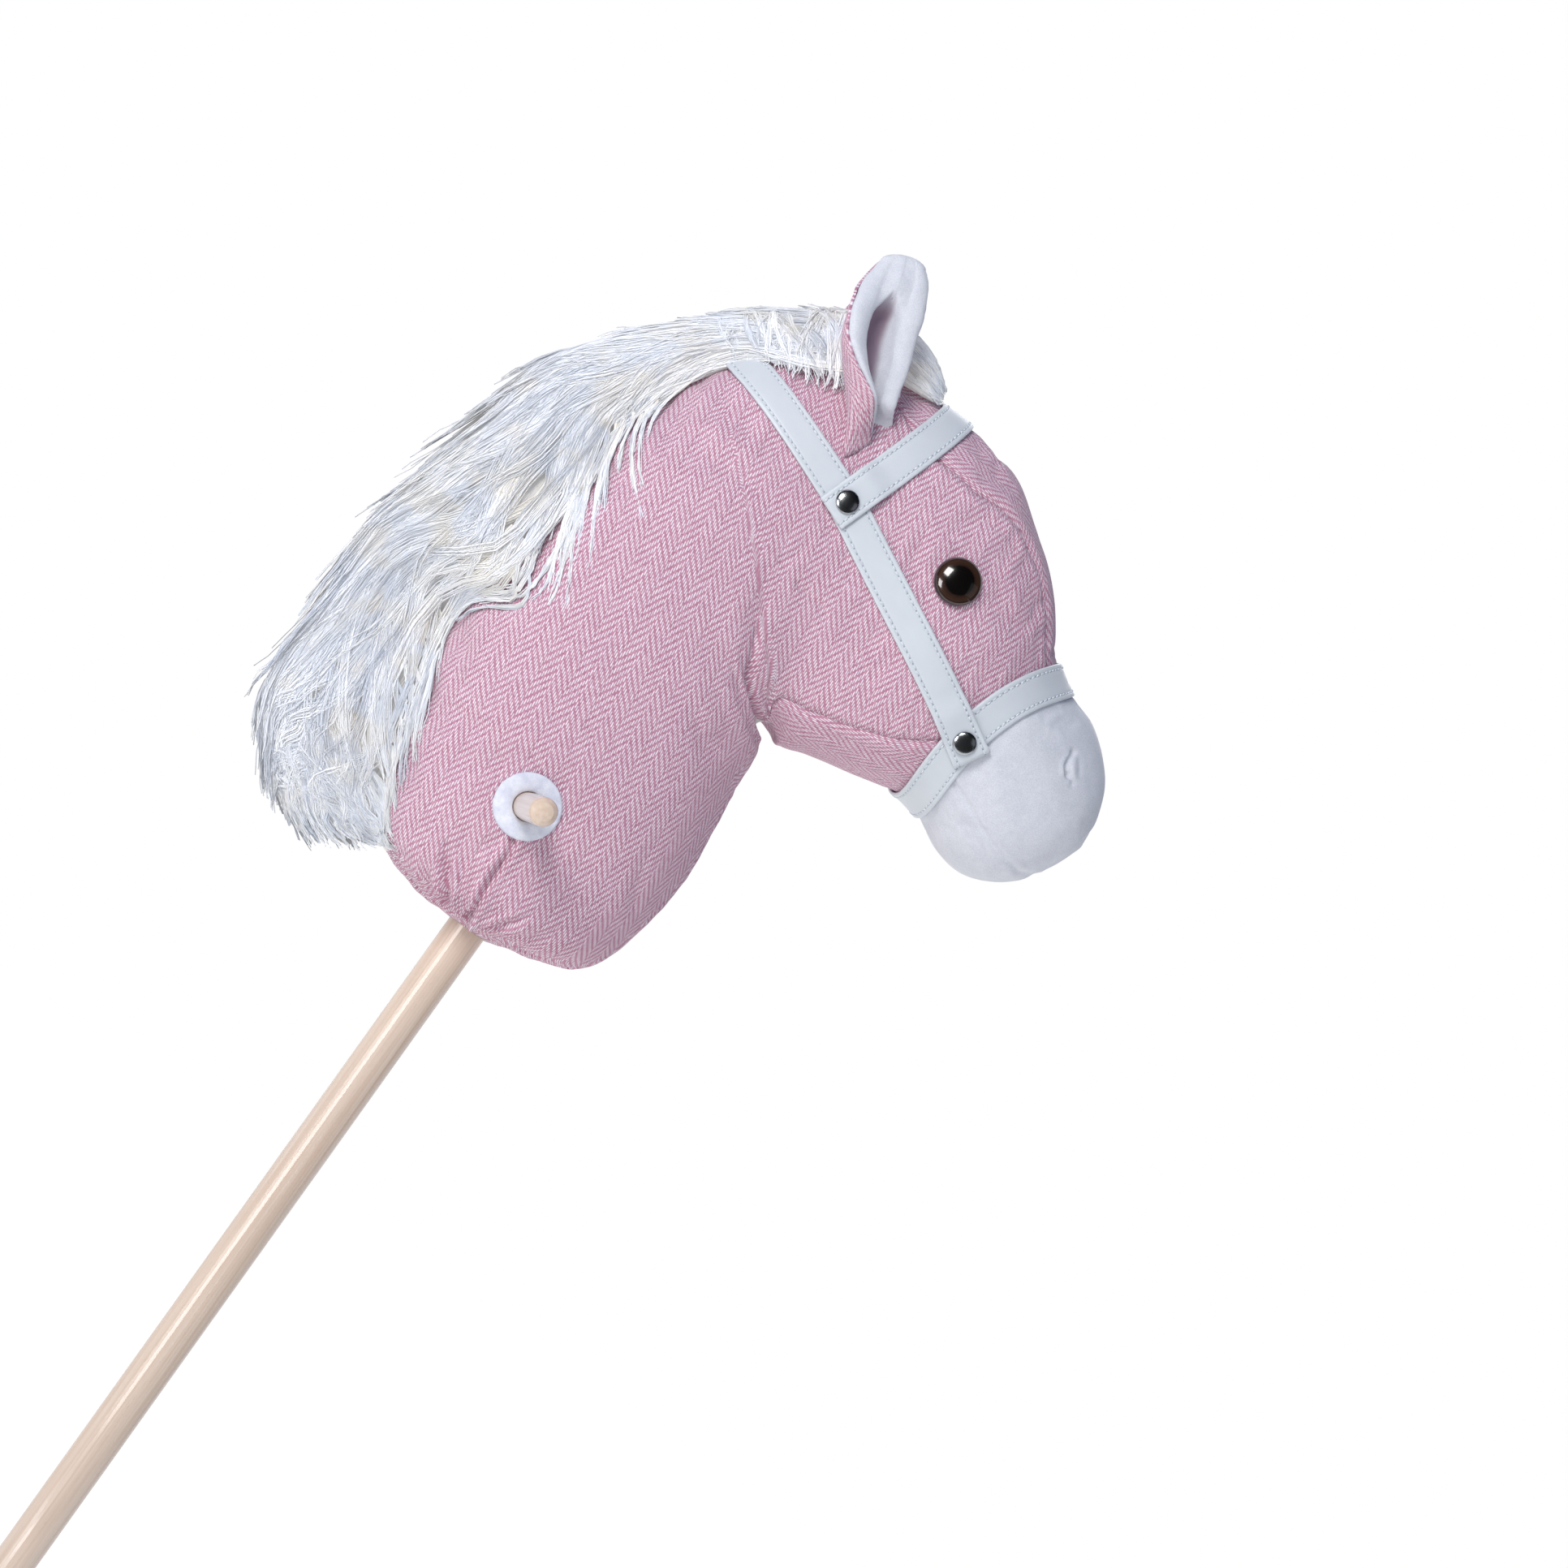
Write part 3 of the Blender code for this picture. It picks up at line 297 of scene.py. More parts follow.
def angle_at_depth(rib, depth):
    """Angles at which the form lies so many millimetres below its crest, seen
    from the side. They are also the angles so far above the throat."""
    values = smooth_rows(RIBS, rib)
    half = np.hypot(values[..., 2] - values[..., 0], values[..., 3] - values[..., 1]) / 2
    return np.arccos(np.maximum(1 - depth / half, 0) ** (values[..., 6] / 2))


def ring_faces(rows, columns):
    """Faces between rings of points, each of which closes on itself."""
    return [(i * columns + j, i * columns + (j + 1) % columns, (i + 1) * columns + (j + 1) % columns,
             (i + 1) * columns + j) for i in range(rows - 1) for j in range(columns)]


def form_tree():
    """Search tree of the whole form, for the pieces that lie on it."""
    steps, columns = 5, 120
    ribs = np.arange(NOSE * steps + 1)[:, None] / steps
    points = form(ribs, math.tau * np.arange(columns)[None, :] / columns).reshape(-1, 3)
    return BVHTree.FromPolygons([Vector(point) for point in points], ring_faces(len(ribs), columns))


head_tree = form_tree()


def on_plane(x, z):
    """A point of the middle plane, from millimetres to metres."""
    return Vector((x / 1000, 0, NECK_END + z / 1000))


def side_spot(x, z):
    """Point and outward direction on the horse's right side."""
    return head_tree.ray_cast(on_plane(x, z) + Vector((0, -0.2, 0)), Vector((0, 1, 0)))[:2]


# Stuffing
# Loose polyester fibre, pushed in by hand until the bag is hard. Its pressure
# on the cloth is simulated: the bag swells wherever the hem, the mane's seam,
# the straps, the washers and the eyes don't hold it in.

CLOTH = 0.0012
HANDLE_X = -0.018
HANDLE_Z = 0.655
EYE_AT = (98, 298)
UPPER_RIVET_AT = (26, 297)
LOWER_RIVET_AT = (151, 233)
POLL_STRAP_AT = (-60, 331)
BROW_STRAP_AT = (54, 375)
BAG_STEPS = 5
BAG_COLUMNS = 84
BAG_START = 1
BAG_END = 24.4
SWELL_LIMIT = 0.0026
SWELL_SHARE = 0.8
HELD_BY_STRAP = 0.0115
HELD_BY_EYE = 0.015
HELD_BY_WASHER = 0.02
PRESSURE = 4
CLOTH_STRETCH = 0.025
SIMULATED_FRAMES = 20
FIBRE_GAP = 0.0045
FIBRE_COLUMNS = 56


def placed(name, data):
    """A new object in the scene."""
    made = bpy.data.objects.new(name, data)
    bpy.context.scene.collection.objects.link(made)
    return made


def held_in():
    """Spots of the right side at which something presses on the cloth, each
    with the radius in metres that it holds."""
    spots = []
    for step in range(60):
        share = step / 59
        for start, stop in ((LOWER_RIVET_AT, UPPER_RIVET_AT), (UPPER_RIVET_AT, POLL_STRAP_AT),
                            (UPPER_RIVET_AT, BROW_STRAP_AT)):
            found = side_spot(*Vector(start).lerp(Vector(stop), share))[0]
            if found is not None:
                spots.append((found, HELD_BY_STRAP))
        spots.append((Vector(form(NOSEBAND_RIB, math.pi * share)), HELD_BY_STRAP))
    spots.append((side_spot(*EYE_AT)[0], HELD_BY_EYE))
    spots.append((side_spot(HANDLE_X * 1000, (HANDLE_Z - NECK_END) * 1000)[0], HELD_BY_WASHER))
    return spots


def stuff_the_bag():
    """How far each point of the bag rises off the form once it is stuffed."""
    rows = int((BAG_END - BAG_START) * BAG_STEPS) + 1
    ribs = np.linspace(BAG_START, BAG_END, rows)[:, None]
    angles = math.tau * np.arange(BAG_COLUMNS)[None, :] / BAG_COLUMNS
    points = form(ribs, angles)
    normals = form_normal(ribs + 0 * angles, angles + 0 * ribs)
    hold = np.zeros((rows, BAG_COLUMNS))
    right = points * (1, 0, 1) - np.abs(points * (0, 1, 0))
    for spot, radius in held_in():
        distance = np.linalg.norm(right - np.array(spot), axis=-1)
        hold = np.maximum(hold, np.clip(1.35 - 0.35 * distance / radius, 0, 1) * (distance < radius * 1.25))
    crest = (np.abs(points[..., 1]) < 0.008) & (np.cos(angles) > 0.5) & (ribs < 13.2)
    hold[crest] = 1
    hold[:2] = 1
    hold[-2:] = 1
    faces = ring_faces(rows, BAG_COLUMNS)
    faces.append(tuple(reversed(range(BAG_COLUMNS))))
    faces.append(tuple((rows - 1) * BAG_COLUMNS + j for j in range(BAG_COLUMNS)))
    mesh = bpy.data.meshes.new("bag")
    mesh.from_pydata(points.reshape(-1, 3).tolist(), [], faces)
    bag = placed("bag", mesh)
    group = bag.vertex_groups.new(name="held")
    for index, weight in enumerate(hold.reshape(-1)):
        if weight > 0:
            group.add([index], float(weight), "REPLACE")
    cloth = bag.modifiers.new("cloth", "CLOTH")
    cloth.settings.vertex_group_mass = "held"
    cloth.settings.use_pressure = True
    cloth.settings.uniform_pressure_force = PRESSURE
    cloth.settings.shrink_min = -CLOTH_STRETCH
    cloth.settings.effector_weights.gravity = 0
    for number in range(1, SIMULATED_FRAMES + 1):
        bpy.context.scene.frame_set(number)
    swollen = bag.evaluated_get(bpy.context.evaluated_depsgraph_get()).data
    moved = np.empty(len(swollen.vertices) * 3)
    swollen.vertices.foreach_get("co", moved)
    rise = ((moved.reshape(rows, BAG_COLUMNS, 3) - points) * normals).sum(-1)
    bpy.context.scene.frame_set(1)
    bpy.data.objects.remove(bag)
    return SWELL_LIMIT * np.tanh(rise / SWELL_LIMIT)


swell_grid = stuff_the_bag()


def swell(rib, angle):
    """Rise of the stuffed bag between the points of the simulated one."""
    row = np.clip((rib - BAG_START) * BAG_STEPS, 0, len(swell_grid) - 1.001)
    column = (angle / math.tau * BAG_COLUMNS) % BAG_COLUMNS
    i, j = row.astype(int), column.astype(int)
    up, on = row - i, column - j
    j, m = j % BAG_COLUMNS, (j + 1) % BAG_COLUMNS
    low = swell_grid[i, j] * (1 - on) + swell_grid[i, m] * on
    high = swell_grid[i + 1, j] * (1 - on) + swell_grid[i + 1, m] * on
    fade = np.clip(rib - BAG_START, 0, 1) * np.clip((BAG_END - rib) * 2, 0, 1)
    return (low * (1 - up) + high * up) * fade


def closed_sheet(name, rows_out, rows_in, made, flat=None, ring=False, tips=None):
    """A closed sheet between two grids of points. With ring each row closes on
    itself, and with tips the last row of each grid closes over a point. flat
    gives every point of a grid its place on the cloth, in metres."""
    rows_out, rows_in = np.asarray(rows_out), np.asarray(rows_in)
    rows, columns = rows_out.shape[:2]
    count = rows * columns
    points = np.concatenate([rows_out.reshape(-1, 3), rows_in.reshape(-1, 3)])
    i, j = np.meshgrid(np.arange(rows - 1), np.arange(columns if ring else columns - 1), indexing="ij")
    m = (j + 1) % columns
    quads = np.stack([i * columns + j, i * columns + m, (i + 1) * columns + m, (i + 1) * columns + j], -1)
    faces = quads.reshape(-1, 4).tolist() + (quads[..., ::-1] + count).reshape(-1, 4).tolist()
    for row in (0,) if tips is not None else (0, rows - 1):
        for j in range(columns if ring else columns - 1):
            near, far = row * columns + j, row * columns + (j + 1) % columns
            faces.append((near, far, far + count, near + count))
    if not ring:
        for column in (0, columns - 1):
            for i in range(rows - 1):
                near, far = i * columns + column, (i + 1) * columns + column
                faces.append((near, far, far + count, near + count))
    if tips is not None:
        points = np.concatenate([points, np.asarray(tips)])
        for layer in (0, 1):
            edge = layer * count + (rows - 1) * columns
            for j in range(columns):
                faces.append((edge + j, edge + (j + 1) % columns, 2 * count + layer))
    mesh = bpy.data.meshes.new(name)
    mesh.from_pydata(points.tolist(), [], faces)
    if flat is not None:
        both = np.concatenate([np.asarray(flat).reshape(-1, 2)] * 2)
        corners = np.empty(len(mesh.loops), np.int32)
        mesh.loops.foreach_get("vertex_index", corners)
        mesh.uv_layers.new(name="cloth").uv.foreach_set("vector", both[corners].astype(np.float32).ravel())
    return finished(name, mesh, made)


def finished(name, mesh, made):
    """A piece of the horse from a mesh, with its faces turned outwards."""
    bm = bmesh.new()
    bm.from_mesh(mesh)
    bmesh.ops.recalc_face_normals(bm, faces=bm.faces)
    bm.to_mesh(mesh)
    bm.free()
    mesh.shade_smooth()
    mesh.materials.clear()
    mesh.materials.append(made)
    return placed(name, mesh)


def polyester_fibre():
    """Carded polyester filling: bright white, and matted in soft clumps."""
    made, tree, surface = start_material("carded_polyester_fibre", Roughness=1.0, Sheen_Weight=0.4)
    clump = noise_texture(tree, object_place(tree), 240, 6, 1.5)
    feed(surface, Base_Color=two_tones(tree, clump, "E4E4E2", "F6F6F4"))
    emboss(surface, clump, 0.6, 0.002)
    return made


def capped_tube(name, rows, made):
    """A closed tube through rings of points, with flat ends."""
    count, columns = rows.shape[:2]
    ends = [tuple(range(columns)), tuple((count - 1) * columns + j for j in range(columns))]
    mesh = bpy.data.meshes.new(name)
    mesh.from_pydata(rows.reshape(-1, 3).tolist(), [], ends + ring_faces(count, columns))
    return finished(name, mesh, made)


def filling(name, node, start, end, made):
    """One lump of fibre between two ribs, inside the cloth."""
    ribs = np.linspace(start, end, int((end - start) * 5))[:, None]
    ribs, angles = np.broadcast_arrays(ribs, math.tau * np.arange(FIBRE_COLUMNS)[None, :] / FIBRE_COLUMNS)
    rows = form(ribs, angles) - form_normal(ribs, angles) * (CLOTH + FIBRE_GAP)
    lump = capped_tube(name, rows, made)
    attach(lump, "horse")
    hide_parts(node)


fibre = polyester_fibre()
filling("fibre_in_neck", "neck_stuffing", 0.9, 9.98, fibre)
filling("fibre_in_head", "head_stuffing", 10.02, 19.38, fibre)
filling("fibre_in_muzzle", "muzzle_stuffing", 19.42, BAG_END, fibre)


# Cloth cover
# Two side panels, a gusset on the forehead and one under the jaw, of soft
# cotton woven as a pink and white herringbone. They are sewn inside out and
# turned, so the seams are narrow valleys with small puckers. The neck is
# gathered by the tie round the stick, and a dart takes in its right side.

COLUMN_WIDTH_MM = 8.0
STRIPE_PITCH_MM = 5.1
YARN_MM = 1.0
PICK_MM = 1.3
TWILL_SLOPE = 1.48
FOREHEAD_HALF_WIDTHS = [(12.0, 0), (12.5, 26), (13, 38), (14, 44), (15, 43), (16, 38), (17, 34), (19.4, 30)]
JAW_SEAM_HEIGHTS = [(10.4, 0), (10.9, 16), (11.5, 22), (12.6, 23), (14.3, 22), (15.9, 24), (17.2, 28),
                    (18.3, 30), (19.4, 31)]
THROAT_SEAM_SHIFTS = [(0.4, 2), (2, 8), (4, 17), (6, 13), (8, 11), (9.6, 4), (10.4, 0)]
THREADS = 0.0015
PANEL_COLUMNS = 151
PANEL_CUT_TURN = math.radians(7.4)
HEM_OUTSIDE = ((0.0117, 0.0006), (0.0113, 0.002), (0.0113, 0.02))
HEM_INSIDE = ((0.0128, 0.0042), (0.0125, 0.006), (0.0125, 0.02))
HEM_RUNS = (0.001, 0.003, 0.02)
FOREHEAD_FLATTER = 0.0036
PLEATS = 13
PLEAT_DEPTH = 0.0024
FOLDS = [
    (4.2, 1.5, 0.1, [(-3, 1), (-6, 6), (-7.5, 12), (-9.8, 22), (-11, 32.5), (-11.3, 46), (-14, 52)]),
    (6.4, 2.0, 0.7, [(-15, 3), (-20, 6), (-27, 13), (-34, 21), (-40, 29)]),
    (3.0, 1.7, 0.85, [(-9, 3), (-15, 9), (-22, 19), (-27, 28)]),
    (3.2, 1.6, 0.9, [(-6, 4), (-11, 9), (-17, 19), (-22, 31), (-26, 40)]),
    (3.0, 1.7, 0.9, [(-11, 2), (-22, 4), (-32, 8), (-44, 16)]),
    (3.2, 1.5, 0.8, [(-1, 2), (2, 5), (7, 9.6), (11, 16)]),
    (3.0, 1.9, 0.9, [(0, 2), (6, 7), (14, 19), (19, 29)]),
    (2.8, 2.0, 1.0, [(4, 2), (14, 8), (27, 17), (38, 29)]),
    (2.6, 1.9, 1.0, [(9, 1), (22, 5), (36, 12)]),
    (1.2, 3.0, 1.0, [(-17, 52), (-24, 34), (-30, 22)]),
    (3.4, 1.6, 0.75, [(74, 175), (52, 184), (40, 192), (32, 205), (26, 217)]),
    (2.2, 5.0, 0.9, [(72, 176), (52, 184), (40, 192), (30, 207), (22, 221), (16, 240)]),
    (0.8, 5.0, 1.0, [(40, 192), (22, 221), (13, 240), (11, 275)]),
    (1.3, 1.8, 0.5, [(30, 247), (37, 246.5), (47, 246), (52, 243)]),
    (0.9, 2.2, 0.8, [(16, 252), (22, 262), (20, 272)]),
    (0.8, 4.0, 1.0, [(-28, 60), (-52, 92), (-70, 120)]),
    (0.8, 3.5, 1.0, [(60, 60), (50, 82), (46, 110)]),
]


def herringbone_cotton(name, fineness=1.0):
    """Soft herringbone: columns of pink and white twill that lean to and fro, each stripe stepped from yarn
    to yarn, with the slight unevenness of a matt, brushed cotton yarn. The colour is darker in the gaps
    between yarns, as painted shade, and every other yarn is a little darker. The cloth's own map is in
    metres."""
    made, tree, surface = start_material(name, Roughness=0.95, Sheen_Weight=0.16, Sheen_Roughness=0.5,
                                         Specular_IOR_Level=0.15)
    place = object_place(tree)
    flat = add_node(tree, "ShaderNodeUVMap", uv_map="cloth")
    waver = noise_texture(tree, place, 55, out="Color")
    drift = vector_maths(tree, "SUBTRACT", waver, (0.5, 0.5, 0.5))
    pulled = vector_maths(tree, "MULTIPLY_ADD", drift, (0.0016, 0.0016, 0), flat)
    in_mm = vector_maths(tree, "SCALE", pulled, 1000 / fineness)
    across, down = parts_of(tree, in_mm)[:2]
    columns = maths(tree, "DIVIDE", across, COLUMN_WIDTH_MM)
    column = maths(tree, "FLOOR", columns)
    odd = maths(tree, "FLOORED_MODULO", column, 2)
    lean = maths(tree, "MULTIPLY_ADD", odd, -2, 1)
    yarns = maths(tree, "MULTIPLY", maths(tree, "FRACT", columns), COLUMN_WIDTH_MM / YARN_MM)
    yarn = maths(tree, "FLOOR", yarns)
    climbed = maths(tree, "MULTIPLY", maths(tree, "MULTIPLY", yarn, YARN_MM), lean)
    height = maths(tree, "MULTIPLY_ADD", climbed, TWILL_SLOPE, down)
    broken = maths(tree, "MULTIPLY_ADD", odd, 0.5, maths(tree, "DIVIDE", height, STRIPE_PITCH_MM))
    wave = maths(tree, "PINGPONG", broken, 0.5)
    floats = remap(tree, wave, 0.17, 0.26, smooth=True)
    ridge = maths(tree, "PINGPONG", yarns, 0.5)
    body = remap(tree, ridge, 0.08, 0.36, 0.1, smooth=True)
    white = maths(tree, "MULTIPLY", floats, body)
    pick_row = maths(tree, "FLOOR", maths(tree, "DIVIDE", down, PICK_MM))
    yarn_number = maths(tree, "MULTIPLY_ADD", column, 13, yarn)
    cell = add_node(tree, "ShaderNodeCombineXYZ", {0: yarn_number, 1: pick_row})
    uneven = add_node(tree, "ShaderNodeTexWhiteNoise", {0: cell}, noise_dimensions="2D")
    slub = noise_texture(tree, place, 420, 3)
    pinks = two_tones(tree, uneven, "BE8098", "D49EB4")
    whites = two_tones(tree, uneven, "E6D6E4", "F8F0F8")
    yarn_share = maths(tree, "MULTIPLY_ADD", slub, 0.35, -0.175)
    mixed = maths(tree, "ADD", white, yarn_share, use_clamp=True)
    cloth = two_tones(tree, mixed, pinks, whites)
    # Painted shade: the colour is darkened in the gaps between yarns, and every other yarn a little more.
    furrow = remap(tree, ridge, 0.02, 0.3, 0.76, smooth=True)
    paired = maths(tree, "MULTIPLY_ADD", maths(tree, "FLOORED_MODULO", yarn_number, 2), -0.1, furrow)
    feed(surface, Base_Color=vector_maths(tree, "SCALE", cloth, paired))
    relief_height = maths(tree, "MULTIPLY_ADD", white, 0.6, ridge)
    rough_height = maths(tree, "MULTIPLY_ADD", slub, 0.8, relief_height)
    emboss(surface, rough_height, 0.55, 0.0003)
    return made


def along_keys(keys, position):
    """Straight-line values between key pairs."""
    return np.interp(position, [key[0] for key in keys], [key[1] for key in keys])


def even_ribs(start, end, spacing):
    """Positions between two ribs, at an even spacing on the cloth."""
    ribs = np.linspace(start, end, 800)
    crest, side = form(ribs, 0.35), form(ribs, math.pi / 2)
    steps = (np.linalg.norm(np.diff(crest, axis=0), axis=-1)
             + np.linalg.norm(np.diff(side, axis=0), axis=-1)) / 2
    length = np.concatenate([[0], np.cumsum(steps)])
    return np.interp(np.linspace(0, length[-1], int(length[-1] / spacing / 3) * 3 + 1), length, ribs)


def bell(distance, width):
    """1 at no distance, and nearly 0 at twice the width."""
    return np.exp(-(distance / width) ** 2)


def fold_depth(points, folds):
    """How far sewn lines and creases sink the cloth at these points. Each has
    its depth and half width in mm, how far it fades, and its line."""
    x, z = points[..., 0] * 1000, (points[..., 2] - NECK_END) * 1000
    total = np.zeros(x.shape)
    for depth, width, fade, line in folds:
        best, where = np.full(x.shape, 1e9), np.zeros(x.shape)
        for number, ((ax, az), (bx, bz)) in enumerate(zip(line, line[1:])):
            dx, dz = bx - ax, bz - az
            part = np.clip(((x - ax) * dx + (z - az) * dz) / (dx * dx + dz * dz), 0, 1)
            distance = np.hypot(x - ax - part * dx, z - az - part * dz)
            where = np.where(distance < best, (number + part) / (len(line) - 1), where)
            best = np.minimum(best, distance)
        valley = bell(best, width) - 0.4 * bell(best / width - 2.3, 1.3)
        total += depth / 1000 * valley * (1 - fade * where ** 1.5)
    return total


def trimmed_front(points):
    """The forehead of the photo's horse is a little flatter than its form."""
    x, z = points[..., 0] * 1000 - 116, (points[..., 2] - NECK_END) * 1000 - 358
    along, across = 0.79 * x - 0.61 * z, 0.61 * x + 0.79 * z
    return FOREHEAD_FLATTER * np.exp(-(along / 27) ** 2 - (across / 18) ** 2)


def ruffle(points, scale, height):
    """Small soft unevenness of stuffed cloth, for an array of points."""
    values = np.array([noise.noise(Vector(point) * scale) for point in points.reshape(-1, 3)])
    return height * values.reshape(points.shape[:-1])


def seam_depth(points, distance):
    """How far a seam sinks the cloth at a distance from it, with puckers."""
    mm = distance * 1000
    valley = 1.5 * bell(mm, 1.9) - 0.55 * bell(mm - 5.5, 3.2)
    return (valley + ruffle(points, 150, 0.8) * bell(mm, 6)) / 1000


def gathers(ribs, angles):
    """The tie draws the neck's end together in soft pleats."""
    waves = np.cos(PLEATS * angles + 1.6 * np.sin(2 * angles) + 0.8 * np.sin(5 * angles))
    share = np.clip((ribs - 0.45) / 0.7, 0, 1) * np.clip((3.4 - ribs) / 2.3, 0, 1) ** 1.4
    return PLEAT_DEPTH * share * np.maximum(waves, -0.3)


def cloth_rows(ribs, angles, seams):
    """Outer and inner points of cloth on the stuffed head. seams says which
    edges of the rows are sewn: first, last or both."""
    base = form(ribs, angles)
    normals = form_normal(ribs, angles)
    run = np.concatenate([np.zeros((len(base), 1)),
                          np.cumsum(np.linalg.norm(np.diff(base, axis=1), axis=-1), axis=1)], axis=1)
    distance = np.full(run.shape, 1.0)
    if "first" in seams:
        distance = np.minimum(distance, run)
    if "last" in seams:
        distance = np.minimum(distance, run[:, -1:] - run)
    lift = SWELL_SHARE * swell(ribs, angles) - seam_depth(base, distance) - fold_depth(base, FOLDS)
    lift = lift - gathers(ribs, angles) - trimmed_front(base)
    lift = np.where(ribs < 1, lift * np.clip((ribs - 0.4) / 0.6, 0, 1), lift)
    return base + normals * lift[..., None], base + normals * (lift - CLOTH)[..., None]


def laid_flat(rows, rounds=900):
    """Lays cloth out flat with its threads' lengths kept as well as can be,
    as the pattern piece was cut. It starts from the piece's side view."""
    coarse = rows[::3, ::3]
    flat = coarse[..., [0, 2]].copy()
    whole = slice(None)
    links = [((slice(None, -1), whole), (slice(1, None), whole)),
             ((whole, slice(None, -1)), (whole, slice(1, None))),
             ((slice(None, -1), slice(None, -1)), (slice(1, None), slice(1, None))),
             ((slice(1, None), slice(None, -1)), (slice(None, -1), slice(1, None)))]
    rests = [np.linalg.norm(coarse[a] - coarse[b], axis=-1) for a, b in links]
    for _ in range(rounds):
        moves = np.zeros(flat.shape)
        for (a, b), rest in zip(links, rests):
            gap = flat[b] - flat[a]
            length = np.linalg.norm(gap, axis=-1) + 1e-9
            pull = gap * ((length - rest) / length / 2)[..., None]
            moves[a] += pull
            moves[b] -= pull
        flat += moves * 0.24
    fine = np.empty(rows.shape[:2] + (2,))
    i = np.arange(rows.shape[0]) / 3
    j = np.arange(rows.shape[1]) / 3
    for axis in (0, 1):
        tall = np.stack([np.interp(i, np.arange(flat.shape[0]), flat[:, c, axis])
                         for c in range(flat.shape[1])], 1)
        fine[..., axis] = np.stack([np.interp(j, np.arange(flat.shape[1]), row) for row in tall])
    return fine


def hem_rows(hem, start, end):
    """Rows of the turned-up hem round the stick, as part of a circle."""
    turns = np.linspace(start, end, PANEL_COLUMNS)
    return [np.stack([-radius * np.cos(turns), -radius * np.sin(turns), 0 * turns + NECK_END + height], -1)
            for radius, height in hem]


def side_cover(name, node, side, made):
    """A side panel from the noseband to the hem turned up inside the neck."""
    ribs = even_ribs(MUZZLE_SEAM, 0.4, THREADS)[:, None]
    share = np.linspace(0, 1, PANEL_COLUMNS)[None, :]
    top = angle_for(ribs, along_keys(FOREHEAD_HALF_WIDTHS, ribs))
    jaw = math.pi - angle_at_depth(ribs, along_keys(JAW_SEAM_HEIGHTS, ribs))
    low = jaw - side * angle_for(ribs, along_keys(THROAT_SEAM_SHIFTS, ribs)) * (ribs < 10.4)
    angles = top + (low - top) * share
    ribs = ribs + 0 * share
    rows_out, rows_in = cloth_rows(ribs, angles, ("first", "last"))
    flat = laid_flat(form(ribs, angles))
    cosine, sine = math.cos(PANEL_CUT_TURN), math.sin(PANEL_CUT_TURN)
    flat = np.stack([flat[..., 0] * cosine + flat[..., 1] * sine,
                     flat[..., 1] * cosine - flat[..., 0] * sine], -1)
    last_top, last_low = float(top[-1, 0]), float(low[-1, 0])
    rows_out = list(rows_out) + hem_rows(HEM_OUTSIDE, last_top, last_low)
    rows_in = list(rows_in) + hem_rows(HEM_INSIDE, last_top, last_low)
    flat = list(flat) + [flat[-1] - (0, run) for run in HEM_RUNS]
    mirror = (1, side, 1)
    piece = closed_sheet(name, np.array(rows_out) * mirror, np.array(rows_in) * mirror, made, flat)
    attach(piece, "horse")
    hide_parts(node)


def gusset(name, node, start, reach_at, middle, columns, made):
    """A long strip of cloth between the side panels, pointed at its start."""
    ribs = even_ribs(start, MUZZLE_SEAM, THREADS)[:, None]
    reach = reach_at(ribs)
    angles = middle + reach * np.linspace(-1, 1, columns)[None, :]
    ribs = ribs + 0 * angles
    rows_out, rows_in = cloth_rows(ribs, angles, ("first", "last"))
    steps = np.linalg.norm(np.diff(rows_out, axis=1), axis=-1)
    across = np.concatenate([np.zeros((len(steps), 1)), np.cumsum(steps, axis=1)], axis=1)
    across -= across[:, -1:] / 2
    run = np.cumsum(np.linalg.norm(np.diff(rows_out[:, columns // 2], axis=0, prepend=0), axis=-1)[1:])
    run = np.concatenate([[0], run])[:, None] + 0 * across
    piece = closed_sheet(name, rows_out, rows_in, made, np.stack([across + 0.0031, run], -1))
    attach(piece, "horse")
    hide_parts(node)


cotton = herringbone_cotton("brushed_herringbone_cotton")
side_cover("cover_right", "side_panel_right", 1, cotton)
side_cover("cover_left", "side_panel_left", -1, cotton)
gusset("forehead_gusset", "forehead_strip", 12.1,
       lambda ribs: angle_for(ribs, along_keys(FOREHEAD_HALF_WIDTHS, ribs)), 0.0, 55, cotton)
gusset("jaw_gusset", "jaw_strip", 10.5,
       lambda ribs: angle_at_depth(ribs, along_keys(JAW_SEAM_HEIGHTS, ribs)), math.pi, 67, cotton)


# Muzzle
# White cotton velour, sewn to the cloth under the noseband. A seam marks the
# mouth, and each nostril is pinched up and held by a few stitches.

NOSTRIL_AT = (208.5, 256.5)
NOSE_FULLER = 0.0034
MUZZLE_THREADS = 0.0011
MUZZLE_COLUMNS = 330
MOUTH = (1.0, 1.3, 0.3, [(158, 214), (167, 211), (186, 203), (204, 197.5), (221, 197), (233, 203)])


def white_velour(name, nap=1.0):
    """Cotton velour: a dense short nap that lies this way and that, so it is soft, matt, and a little
    brighter where it is seen edge on. In the ears' hollows, which a mesh attribute marks, it is painted a
    greyer mauve: painted shade."""
    made, tree, surface = start_material(name, Roughness=1.0, Sheen_Weight=0.5, Sheen_Roughness=0.4,
                                         Specular_IOR_Level=0.15)
    place = object_place(tree)
    pile = noise_texture(tree, place, 1500 * nap, 3)
    stroke = noise_texture(tree, place, 140, 4, 0.6)
    both = maths(tree, "MULTIPLY_ADD", pile, 0.7, maths(tree, "MULTIPLY", stroke, 0.3))
    tone = two_tones(tree, remap(tree, both, 0.36, 0.64), "CACDD6", "DDDFE6")
    # Painted shade: where the hollow mark is set, the colour turns to a greyer mauve.
    feed(surface, Base_Color=two_tones(tree, mark(tree, "hollow"), tone, "A3909F"))
    emboss(surface, both, 0.5, 0.0005)
    return made


